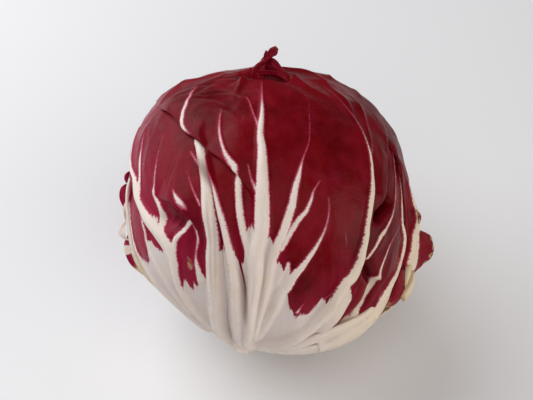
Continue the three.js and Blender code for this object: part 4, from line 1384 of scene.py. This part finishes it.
# %% Withered tip at the crown
DARK, FRESH, BARE = [-2.0], [0.0], [2.0]
TOWARDS_VIEWER = (0, -1, 0.2)
TOWARDS_CROWN_FRONT = (0, -1, 0.6)
swept_strip(
    "crown_twist", TOWARDS_VIEWER, [(1.6, -5.0, 55.5), (1.8, -5.6, 58.5), (2.6, -5.5, 62.0),
    (4.4, -5.0, 64.5), (6.1, -4.5, 66.2), (7.3, -4.0, 67.3), (8.8, -4.0, 68.6), (10.3, -4.0, 69.9)],
    widths=[3.0, 2.9, 2.6, 2.1, 1.35, 1.45, 1.75, 0.9], thicknesses=[2.6, 2.3, 2.0, 1.4, 0.9, 0.7, 0.6,
    0.3], twists=[0, 20, 50, 90, 140, 170, 185, 190], lobes=[0.16, 0.18, 0.2, 0.2, 0.12, 0.16, 0.2, 0.1],
    white=DARK, dry=[0, 0, 0, 0, 0, 0.08, 0.15, 0.2])
swept_strip(
    "crown_second_lobe", TOWARDS_VIEWER, [(5.0, -4.8, 65.0), (5.5, -4.9, 66.8), (5.9, -5.0, 68.2),
    (6.0, -5.0, 69.2)], widths=[0.9, 0.8, 0.75, 0.35], thicknesses=[0.6, 0.5, 0.4, 0.2], twists=[0, 15, 25,
    30], lobes=[0.12], white=DARK, dry=[0, 0.05, 0.1, 0.2])
swept_strip(
    "crown_lip", TOWARDS_CROWN_FRONT, [(0.6, -3.0, 56.5), (1.4, -6.0, 59.4), (4.0, -7.8, 60.6),
    (7.0, -8.4, 60.6), (9.7, -8.6, 59.9), (12.0, -9.2, 58.4), (13.8, -9.6, 56.0)], widths=[1.2, 1.5, 1.4,
    1.3, 1.2, 1.0, 0.5], thicknesses=[0.8, 0.8, 0.7, 0.6, 0.6, 0.5, 0.3], twists=[10, 35, 60, 70, 60, 40,
    20], lobes=[0.2, 0.28, 0.16, 0.26, 0.18], white=DARK, dry=[0.0, 0.1, 0.15, 0.1])
swept_strip(
    "crown_band", TOWARDS_CROWN_FRONT, [(4.6, 0.5, 58.5), (5.9, -1.4, 62.2), (7.4, -3.2, 63.7),
    (9.0, -5.0, 63.1), (10.5, -6.6, 61.6), (12.0, -8.0, 59.6), (13.4, -9.2, 56.6)], widths=[2.4, 2.2, 1.9,
    1.7, 1.5, 1.3, 0.9], thicknesses=[1.1, 0.8, 0.6, 0.5, 0.5, 0.5, 0.3], twists=[20, -10, -35, -50, -40,
    -20, 0], lobes=[0.15, 0.25, 0.15, 0.28, 0.15], white=DARK, dry=[0.0, 0.1, 0.0, 0.15])
swept_strip(
    "crown_gather", TOWARDS_CROWN_FRONT, [(3.4, 0.0, 57.0), (4.8, -1.4, 61.2), (6.6, -3.0, 62.8),
    (9.0, -4.2, 61.6), (11.6, -5.6, 58.0)], widths=[2.4, 2.8, 2.8, 2.6, 2.0], thicknesses=[1.8, 2.0, 2.0,
    1.8, 1.4], twists=[0, 20, 40, 60, 80], lobes=[0.18], white=DARK, dry=FRESH)

# %% [markdown]
# ## Leaf bases that wrap round the stem
# At the bottom, two leaf bases curl under the head and end beside the stem. They are broad flat strips that
# lie in the outline, almost flush with the leaves.

# %% Leaf bases that wrap round the stem
strip_on_head(
    "right_leaf_heel", towards(25, 44), [(60, 60, -2.4), (48, 54.5, -1.4), (38, 51, -1.2), (30, 48.5, -1.1),
    (22, 45, -1.1), (13, 40.5, -1.0), (4, 37.5, -1.0), (-5, 36, -1.2), (-13, 36.5, -1.7), (-20, 38, -2.6)],
    widths=[2.2, 3.6, 4.6, 4.8, 4.2, 3.4, 2.9, 2.5, 2.1, 1.4], thicknesses=[1.0, 1.4, 1.5, 1.5, 1.4, 1.2,
    1.1, 0.9, 0.5], twists=[0], lobes=[0.04], white=[3.0], dry=[0.0])
strip_on_head(
    "under_leaf_heel", towards(25, 34), [(68, 52, -3.0), (54, 44, -1.8), (40, 38, -1.4), (27, 34, -1.3),
    (14, 31.5, -1.3), (2, 30.5, -1.4), (-8, 31.5, -1.6), (-17, 33, -2.0), (-26, 35, -3.0)], widths=[5.0,
    7.0, 7.4, 7.0, 6.2, 5.0, 4.0, 3.0, 2.0], thicknesses=[1.2, 1.7, 1.8, 1.8, 1.7, 1.5, 1.1, 0.5],
    twists=[0], lobes=[0.03], white=[3.0], dry=[0.0])

# %% [markdown]
# ## The torn edge on the left
# A rib runs down the left outline. Beside it hang the remains of a leaf: a dark lobe, a magenta and a white
# flap, a curled petal and the cut edge that has dried. Each is one thin strip with lobes and a twist.

# %% Torn edge on the left
TORN_FACING = (0.15, -1, 0.1)
strip_on_head(
    "left_rim_rib", TORN_FACING, [(-79.8, 112, -1.0), (-78.4, 108, -0.4), (-77.2, 103.5, -0.3),
    (-75.8, 99, -0.3), (-74.3, 94.5, -0.3), (-72.8, 90, 0.0), (-71.4, 85.5, 0.3), (-69.8, 81, 0.5),
    (-68, 76.5, 0.1), (-65.5, 70, -0.6), (-62, 63, -1.3)], widths=[0.7, 0.95, 1.1, 1.1, 1.2, 1.3, 1.4, 1.6,
    1.7, 1.5, 0.8], thicknesses=[0.9, 1.3, 1.5, 1.5, 1.4, 1.4, 1.4, 1.2, 0.8], twists=[0, 10, 0, -10, 0],
    lobes=[0.1], white=BARE, dry=[0.0, 0.1, 0.0, 0.1, 0.32, 0.38, 0.3])
strip_on_head(
    "left_dark_lobe", TORN_FACING, [(-83, 113.8, -0.6), (-82.5, 112.2, 0.4), (-82.1, 110.7, 0.4),
    (-81.7, 109.2, -0.4)], widths=[0.4, 0.9, 0.9, 0.4], thicknesses=[0.3, 0.6, 0.6, 0.3], twists=[0, 20,
    30], lobes=[0.15], white=DARK, dry=[0.1])
strip_on_head(
    "left_magenta_flap", TORN_FACING, [(-81.5, 109, 0.2), (-80.4, 107, 1.3), (-79.4, 104.2, 1.6),
    (-78.8, 101.5, 1.1), (-78.4, 99.8, 0.4)], widths=[0.4, 1.4, 1.6, 1.1, 0.4], thicknesses=[0.2, 0.35,
    0.35, 0.3, 0.2], twists=[0, 12, 24, 12], lobes=[0.1], white=[-0.8, -0.7, -0.6, -0.2, 1.0], dry=[0.1,
    0.0, 0.0, 0.1, 0.2])
strip_on_head(
    "left_white_flap", TORN_FACING, [(-78.8, 103.8, -0.4), (-77.9, 101, 0.4), (-77.1, 98.4, 0.2),
    (-76.4, 96.4, -0.5)], widths=[0.3, 0.9, 0.9, 0.3], thicknesses=[0.15, 0.25, 0.25, 0.15], twists=[0, -20,
    -30], lobes=[0.12], white=[1.2], dry=[0.1, 0.2, 0.6, 0.2])
strip_on_head(
    "left_petal", TORN_FACING, [(-75.4, 96.2, 0.2), (-74.8, 93.8, 2.7), (-74, 91.6, 3.6),
    (-73.3, 89.6, 3.0), (-73, 88, 1.0)], widths=[0.2, 0.8, 1.5, 0.9, 0.25], thicknesses=[0.12, 0.2, 0.25,
    0.2, 0.12], twists=[0, 25, 40, 20], lobes=[0.15, 0.3, 0.35, 0.3, 0.15], white=[1.5, 1.2, 0.7, 1.2, 1.5],
    dry=[0.3, 0.05, 0.1, 0.3])
strip_on_head(
    "left_cut_edge", TORN_FACING, [(-74.3, 90.4, 0.2), (-73.4, 87, 2.0), (-72.5, 84.4, 2.7),
    (-71.5, 81.5, 2.9), (-70.6, 79, 2.6), (-69.5, 76.2, 1.6), (-67.5, 71.5, 0.0)], widths=[0.6, 1.5, 1.7,
    1.7, 1.5, 1.1, 0.5], thicknesses=[0.3, 0.5, 0.6, 0.6, 0.6, 0.6, 0.4], twists=[0, 10, 20, 20, 10],
    lobes=[0.12], white=[-1.0, -0.6, 1.8, -2.0, -2.0, 0.8, 1.5], dry=[0.1, 0.15, 0.3, 0.1, 0.15, 0.5, 0.5])

# %% [markdown]
# ## The snapped ribs on the right
# Two ribs of the broken leaf were snapped short, and their ends are dry. A piece of red blade is left
# between them, and one shred stands off above.

# %% Snapped rib stumps
SNAPPED_FACING = (0.8, -0.5, -0.3)
strip_on_head(
    "snapped_rib_1", SNAPPED_FACING, [(77.0, 67.5, 2.4), (76.4, 66.2, 3.0), (75.1, 63.4, 3.2),
    (73.7, 60.6, 3.1)], widths=[1.6, 1.95, 1.95, 1.8], thicknesses=[1.1, 1.3, 1.2, 1.1], twists=[0, 10, 10,
    10], lobes=[0.08], white=BARE, dry=[0.6, 0.34, 0.3, 0.6])
strip_on_head(
    "snapped_rib_2", SNAPPED_FACING, [(76.2, 66.6, 4.6), (75.3, 64.4, 5.4), (74.0, 61.6, 5.4),
    (72.6, 58.8, 4.6), (71.2, 56.4, 3.6)], widths=[0.6, 1.0, 1.6, 1.95, 1.8], thicknesses=[0.6, 0.8, 1.0,
    1.2, 1.1], twists=[0, 20, 30, 30, 30], lobes=[0.1], white=BARE, dry=[0.6, 0.35, 0.3, 0.36, 0.65])
strip_on_head(
    "snapped_red_piece", SNAPPED_FACING, [(71.4, 67, 0.2), (70.3, 63.6, 0.8), (69, 60, 1.3),
    (67, 56.6, 1.0), (64.4, 53.6, -0.2)], widths=[1.8, 3.5, 3.9, 3.3, 1.3], thicknesses=[0.6, 0.9, 0.9, 0.7,
    0.4], twists=[0, 15, 15], lobes=[0.12], white=DARK, dry=[0.0, 0.0, 0.1, 0.3])
strip_on_head(
    "loose_shred", SNAPPED_FACING, [(77, 90, 3.2), (76.5, 87.5, 4.4), (75.5, 85, 4.4)], widths=[0.35, 0.9,
    0.5], thicknesses=[0.25, 0.4, 0.3], twists=[0, 25, 40], lobes=[0.1], white=[-1.0], dry=[0.5, 0.2, 0.5])

# %% [markdown]
# ## The heart of the head
# Under the wrappers the leaves follow one rule: each one is a smaller cup that grows a golden angle further
# round the stem. Geometry Nodes draw one cupped blade and set it round the axis by that rule, with the sizes
# as named inputs, and the tree is made a plain mesh before the piece is declared.

# %% Geometry Nodes helpers
class Geometry(Wiring):
    """Wiring for a Geometry Nodes tree with a named input for each size, the head's place and a finish."""

    def __init__(self, name, sizes):
        super().__init__(bpy.data.node_groups.new(name, "GeometryNodeTree"))
        self.tree.is_modifier = True
        add = self.tree.interface.new_socket
        add("Geometry", in_out="OUTPUT", socket_type="NodeSocketGeometry")
        for label, value in sizes.items():
            kind = "NodeSocketInt" if isinstance(value, int) else "NodeSocketFloat"
            add(label, in_out="INPUT", socket_type=kind).default_value = value
        for label, kind in (("Axis Turn", "Vector"), ("Middle", "Vector"), ("Finish", "Material")):
            add(label, in_out="INPUT", socket_type="NodeSocket" + kind)
        self.asked = self.make("NodeGroupInput").outputs

    def vector(self, x=0.0, y=0.0, z=0.0):
        return self.make("ShaderNodeCombineXYZ", {0: x, 1: y, 2: z}).outputs[0]

    def points_in_line(self, count):
        """Points that all lie at the middle, and the number of each."""
        line = self.make("GeometryNodeMeshLine", {"Count": count, "Offset": (0.0, 0.0, 0.0)})
        return line.outputs["Mesh"], self.make("GeometryNodeInputIndex").outputs[0]

    def finish(self, instances):
        """Leans the instances onto the head's axis, makes them real and gives them their finish."""
        leaned = self.make("GeometryNodeTransform", {
            "Geometry": instances, "Translation": self.asked["Middle"], "Rotation": self.asked["Axis Turn"]})
        real = self.make("GeometryNodeRealizeInstances", {"Geometry": leaned.outputs[0]})
        finished = self.make("GeometryNodeSetMaterial", {
            "Geometry": real.outputs[0], "Material": self.asked["Finish"]})
        self.make("NodeGroupOutput", {0: finished.outputs[0]})
        print(self.tree.name, "is a tree of", len(self.tree.nodes), "nodes")


# %% [markdown]
# ## One blade, ten times
# A flat grid is bent into a cup: its long side follows the polar angle from the stem to the tip, and its
# short side swings round the axis. Noise ruffles the radius, and an extrusion gives the blade a thickness.

# %% Heart leaves by Geometry Nodes
HEART = {"Leaf Count": 10, "First Radius": 0.0145, "Radius Step": 0.0029, "Golden Angle": math.radians(137.5),
         "Half Width": math.radians(72), "Base Angle": math.radians(16), "Top Angle": math.radians(166),
         "Thickness": 0.045, "Seed": 5}
WIDTH_CURVE = [(0, 0.35), (0.5, 1.0), (1, 0.6)]  # share of the length, share of the half width

g = Geometry("heart leaves", HEART)
asked = g.asked
grid = g.make("GeometryNodeMeshGrid", {"Size X": 2.0, "Size Y": 1.0, "Vertices X": 24, "Vertices Y": 34})
spot = g.make("ShaderNodeSeparateXYZ", {0: g.make("GeometryNodeInputPosition").outputs[0]}).outputs
along = g.plus(spot[1], 0.5)
polar = g.plus(asked["Base Angle"], g.times(along, g.minus(asked["Top Angle"], asked["Base Angle"])))
narrow = g.make("ShaderNodeFloatCurve", {"Value": along})
curve = narrow.mapping.curves[0]
curve.points[0].location = WIDTH_CURVE[0]
curve.points[1].location = WIDTH_CURVE[2]
curve.points.new(*WIDTH_CURVE[1])
narrow.mapping.update()
swing = g.times(g.times(spot[0], asked["Half Width"]), narrow.outputs[0])
reach = g.math("SINE", polar)
ruffle = {"Scale": 3.5, "Detail": 2.0, "W": asked["Seed"]}
ruffle = g.make("ShaderNodeTexNoise", ruffle, noise_dimensions="4D").outputs["Fac"]
radius = g.plus(0.96, g.times(g.minus(ruffle, 0.5), 0.08))
x = g.times(g.times(reach, g.math("SINE", swing)), radius)
y = g.times(g.times(reach, g.math("COSINE", swing)), g.times(radius, -1.0))
z = g.times(g.math("COSINE", polar), g.times(radius, -1.0))
blade = g.make("GeometryNodeSetPosition", {"Geometry": grid.outputs["Mesh"], "Position": g.vector(x, y, z)})
for field, value in (("base", g.times(g.minus(0.45, along), 12.0)), ("white", FAR_IN_RED)):
    marked = {"Geometry": blade.outputs[0], "Name": field, "Value": value}
    blade = g.make("GeometryNodeStoreNamedAttribute", marked, data_type="FLOAT", domain="POINT")
thick = g.make("GeometryNodeExtrudeMesh", {
    "Mesh": blade.outputs[0], "Offset Scale": asked["Thickness"], "Individual": False})
back = g.make("GeometryNodeFlipFaces", {"Mesh": blade.outputs[0]})
both = g.make("GeometryNodeJoinGeometry")
for face in (thick, back):
    g.feed(both, {0: face.outputs["Mesh"]})
closed = g.make("GeometryNodeMergeByDistance", {"Geometry": both.outputs[0], "Distance": 0.0005})
points, number = g.points_in_line(asked["Leaf Count"])
size = g.plus(asked["First Radius"], g.times(number, asked["Radius Step"]))
cups = g.make("GeometryNodeInstanceOnPoints", {
    "Points": points, "Instance": closed.outputs[0], "Scale": g.vector(size, size, size),
    "Rotation": g.vector(0.0, 0.0, g.times(number, asked["Golden Angle"]))})
g.finish(cups.outputs[0])

# %% [markdown]
# ## From tree to plain mesh
# An exporter doesn't run node trees. So the tree grows on an empty carrier object, the result is copied to
# a plain mesh, and the modifier and its carrier are removed. The inputs are set by the sockets' identifiers,
# because two inputs may have the same name.


# %% From tree to plain mesh
def mesh_from_tree(name, tree, finish):
    axes = to_scene(np.eye(3)) - to_scene(np.zeros((1, 3)))
    axis_turn = Matrix((axes / MM).T.tolist()).to_euler()
    values = {"Axis Turn": tuple(axis_turn), "Middle": tuple(HEAD_MIDDLE), "Finish": finish}
    carrier = bpy.data.objects.new(name + "_carrier", bpy.data.meshes.new(name + "_carrier"))
    bpy.context.scene.collection.objects.link(carrier)
    modifier = carrier.modifiers.new("grow", "NODES")
    modifier.node_group = tree
    for item in tree.interface.items_tree:
        if item.in_out == "INPUT" and item.name in values:
            modifier[item.identifier] = values[item.name]
    evaluated = carrier.evaluated_get(bpy.context.evaluated_depsgraph_get())
    mesh = bpy.data.meshes.new_from_object(evaluated)
    mesh.name = name
    carrier.modifiers.remove(modifier)
    bpy.data.objects.remove(carrier)
    return mesh


inner_leaves = [f"inner_leaf_{number}" for number in range(1, HEART["Leaf Count"] + 1)]
heart_mesh = mesh_from_tree("heart_leaves", g.tree, leaf_material("pale_red_heart", 0.2))
declare("heart_leaves", heart_mesh, "inner_leaf", "bud", *inner_leaves)

# %% [markdown]
# ## The stump of the stem
# The head was cut from its root with a knife. The stump is round and a little grooved, and the cut is a
# shallow dish. A profile is turned round the axis, and the grooves are waves on its radius. The Screw
# modifier turns a profile as well, but it can't groove it.

# %% Stump
STUMP_PROFILE = [  # radius and height from the head's middle, in mm
    (0.0, -56.2), (3.0, -56.4), (6.0, -56.7), (9.0, -57.1), (11.3, -57.4), (12.2, -57.1), (12.5, -56.0),
    (12.1, -52.0), (11.0, -45.0), (9.2, -35.0), (7.2, -25.0), (5.5, -17.0), (4.8, -16.2), (2.5, -16.0),
    (0.0, -16.0)]
STUMP_TURNS = 96
GROOVES, GROOVE_DEPTH = 9, 0.025
FINE_GROOVES, FINE_DEPTH = 23, 0.012
CUT_ROUGHNESS = 0.25  # mm
profile = smooth_line(STUMP_PROFILE, 5)[1:-1]
turn = np.linspace(0, 2 * math.pi, STUMP_TURNS, endpoint=False)[None, :]
out, up = np.maximum(profile[:, :1], 0.2), profile[:, 1:]
groove = 1 + GROOVE_DEPTH * np.cos(GROOVES * turn) * smoothstep(out, 6, 12)
groove = groove + FINE_DEPTH * np.cos(FINE_GROOVES * turn + up * 0.3)
spots = np.stack([out * groove * np.sin(turn), -out * groove * np.cos(turn), up + 0 * turn], axis=-1)
on_cut = smoothstep(-up, 55.5, 56.3) + 0 * turn
spots[..., 2] += on_cut * CUT_ROUGHNESS * wavy(spots / PLAIN_RADIUS, 2.2, 4)
count = len(profile)
ring = np.arange(count * STUMP_TURNS).reshape(count, STUMP_TURNS)
ring_ahead = np.roll(ring, -1, axis=1)
faces = np.stack([ring[:-1], ring[1:], ring_ahead[1:], ring_ahead[:-1]], axis=-1).reshape(-1, 4).tolist()
faces += [(count * STUMP_TURNS, int(a), int(b)) for a, b in zip(ring[0], ring_ahead[0])]
faces += [(count * STUMP_TURNS + 1, int(b), int(a)) for a, b in zip(ring[-1], ring_ahead[-1])]
points = np.vstack([spots.reshape(-1, 3), [(0, 0, STUMP_PROFILE[0][1])], [(0, 0, STUMP_PROFILE[-1][1])]])
fields = {"cut": on_cut, "out": out + 0 * turn}
fields = {field: np.concatenate([v.ravel(), [v[0, 0], v[-1, 0]]]) for field, v in fields.items()}
print("the stump has", len(faces), "faces")

# %% [markdown]
# ## The finish of the cut
# The cut has dried brown in rings, darkest at its rim, and the skin of the stump is pale and speckled. Two
# fields from the mesh, how far out a point is and whether it is on the cut, choose between the two.

# %% Stem finish
FLESH, BROWNED_FLESH, RING_BROWN = (0.62, 0.50, 0.34, 1), (0.42, 0.27, 0.13, 1), (0.30, 0.17, 0.08, 1)
RIM_BROWN = (0.22, 0.11, 0.05, 1)
SKIN, SKIN_SPECKLE = (0.76, 0.66, 0.50, 1), (0.55, 0.40, 0.24, 1)
stem_finish, w, shader = new_material("browned_cut_stem")
place = w.object_place()
mottle = w.noise(place, 260, 5, 0.6)
speckle = w.noise(place, 1100, 2)
from_middle = w.attribute("out")
ripple = w.math("SINE", w.plus(w.times(from_middle, 3.1), w.times(mottle, 4.0)))
flesh = w.blend(w.ramp(mottle, 0.35, 0.7), FLESH, BROWNED_FLESH)
flesh = w.blend(w.ramp(ripple, 0.2, 1.0, 0, 0.35), flesh, RING_BROWN)
flesh = w.blend(w.ramp(from_middle, 10.2, 12.4), flesh, RIM_BROWN)
skin = w.blend(w.ramp(speckle, 0.45, 0.8), SKIN, SKIN_SPECKLE)
rough = w.make("ShaderNodeBump", {"Strength": 0.5, "Distance": 0.0004, "Height": w.plus(mottle, speckle)})
w.feed(shader, {"Base Color": w.blend(w.attribute("cut"), skin, flesh), "Normal": rough.outputs["Normal"],
                "Roughness": 0.75})
declare("stem_fine", plain_mesh("stem_fine", points, faces, fields, stem_finish), "cut_stem", "stem")

# %% [markdown]
# ## The ends of the vessels
# The vessels that fed the leaves stand on the cut as two rings of small beads. They repeat by a rule, so
# they are grown with Geometry Nodes: a number gives each bead its ring and its bearing, and seeded random
# values move and size it.

# %% Vessel ends by Geometry Nodes
VESSELS = {"Vessel Count": 22, "Ring Radius": 0.0082, "Ring Step": -0.0033, "Vessel Size": 0.0009,
           "Jitter": 0.0006, "Seed": 3}
CUT_HEIGHT = -0.0567  # metres from the head's middle, along the axis
g = Geometry("vessel ends", VESSELS)
asked = g.asked
bead = g.make("GeometryNodeMeshIcoSphere", {"Radius": 1.0, "Subdivisions": 2})
flat_bead = g.make("GeometryNodeTransform", {"Geometry": bead.outputs["Mesh"], "Scale": (1.0, 0.7, 0.35)})
points, number = g.points_in_line(g.times(asked["Vessel Count"], 2.0))
second_ring = g.math("FLOOR", g.math("DIVIDE", number, asked["Vessel Count"]))
bead_angle = g.math("DIVIDE", 2 * math.pi, asked["Vessel Count"])
bearing = g.times(g.plus(number, g.times(second_ring, 0.5)), bead_angle)
span = {0: (-1.0, -1.0, -1.0), 1: (1.0, 1.0, 1.0), "Seed": asked["Seed"]}
scatter = g.make("FunctionNodeRandomValue", span, data_type="FLOAT_VECTOR").outputs[0]
jitter = g.make("ShaderNodeVectorMath", {0: scatter, 3: asked["Jitter"]}, operation="SCALE").outputs[0]
away = g.plus(asked["Ring Radius"], g.times(second_ring, asked["Ring Step"]))
seat = g.vector(g.times(away, g.math("SINE", bearing)), g.times(away, g.math("COSINE", bearing)), CUT_HEIGHT)
moved = g.vector_math("ADD", seat, g.vector_math("MULTIPLY", jitter, (1.0, 1.0, 0.25)))
seated = g.make("GeometryNodeSetPosition", {"Geometry": points, "Position": moved})
grown = g.make("FunctionNodeRandomValue", {2: 0.6, 3: 1.15, "Seed": asked["Seed"]}, data_type="FLOAT")
bulk = g.times(grown.outputs[1], asked["Vessel Size"])
beads = g.make("GeometryNodeInstanceOnPoints", {
    "Points": seated.outputs[0], "Instance": flat_bead.outputs[0], "Scale": g.vector(bulk, bulk, bulk),
    "Rotation": g.vector(0.0, 0.0, g.times(bearing, -1.0))})
g.finish(beads.outputs[0])

VESSEL_DARK, VESSEL_LIGHT = (0.13, 0.06, 0.025, 1), (0.34, 0.20, 0.10, 1)
vessel_finish, w, shader = new_material("dried_vessels")
grain = w.ramp(w.noise(w.object_place(), 1500, 3), 0.35, 0.7)
w.feed(shader, {"Base Color": w.blend(grain, VESSEL_DARK, VESSEL_LIGHT), "Roughness": 0.85})
declare("vessel_ends", mesh_from_tree("vessel_ends", g.tree, vessel_finish), "cut_stem")

# %% [markdown]
# ## The board under the head
# A plain pale board, so large that its edge stays far behind the head and shows only in low views. It is
# drawn, but it isn't attached to the head's body, so it isn't one of the pieces.

# %% Floor
FLOOR_REACH = 3.0
BOARD_COLOUR = (0.80, 0.81, 0.83, 1)
corners = [(x * FLOOR_REACH, y * FLOOR_REACH, 0) for x, y in ((-1, -1), (1, -1), (1, 1), (-1, 1))]
floor_mesh = bpy.data.meshes.new("floor")
floor_mesh.from_pydata(corners, [], [(0, 1, 2, 3)])
floor = bpy.data.objects.new("floor", floor_mesh)
bpy.context.scene.collection.objects.link(floor)
board, w, shader = new_material("pale_board")
w.feed(shader, {"Base Color": BOARD_COLOUR, "Roughness": 0.6})
floor_mesh.materials.append(board)
print("the board is", 2 * FLOOR_REACH, "m wide")
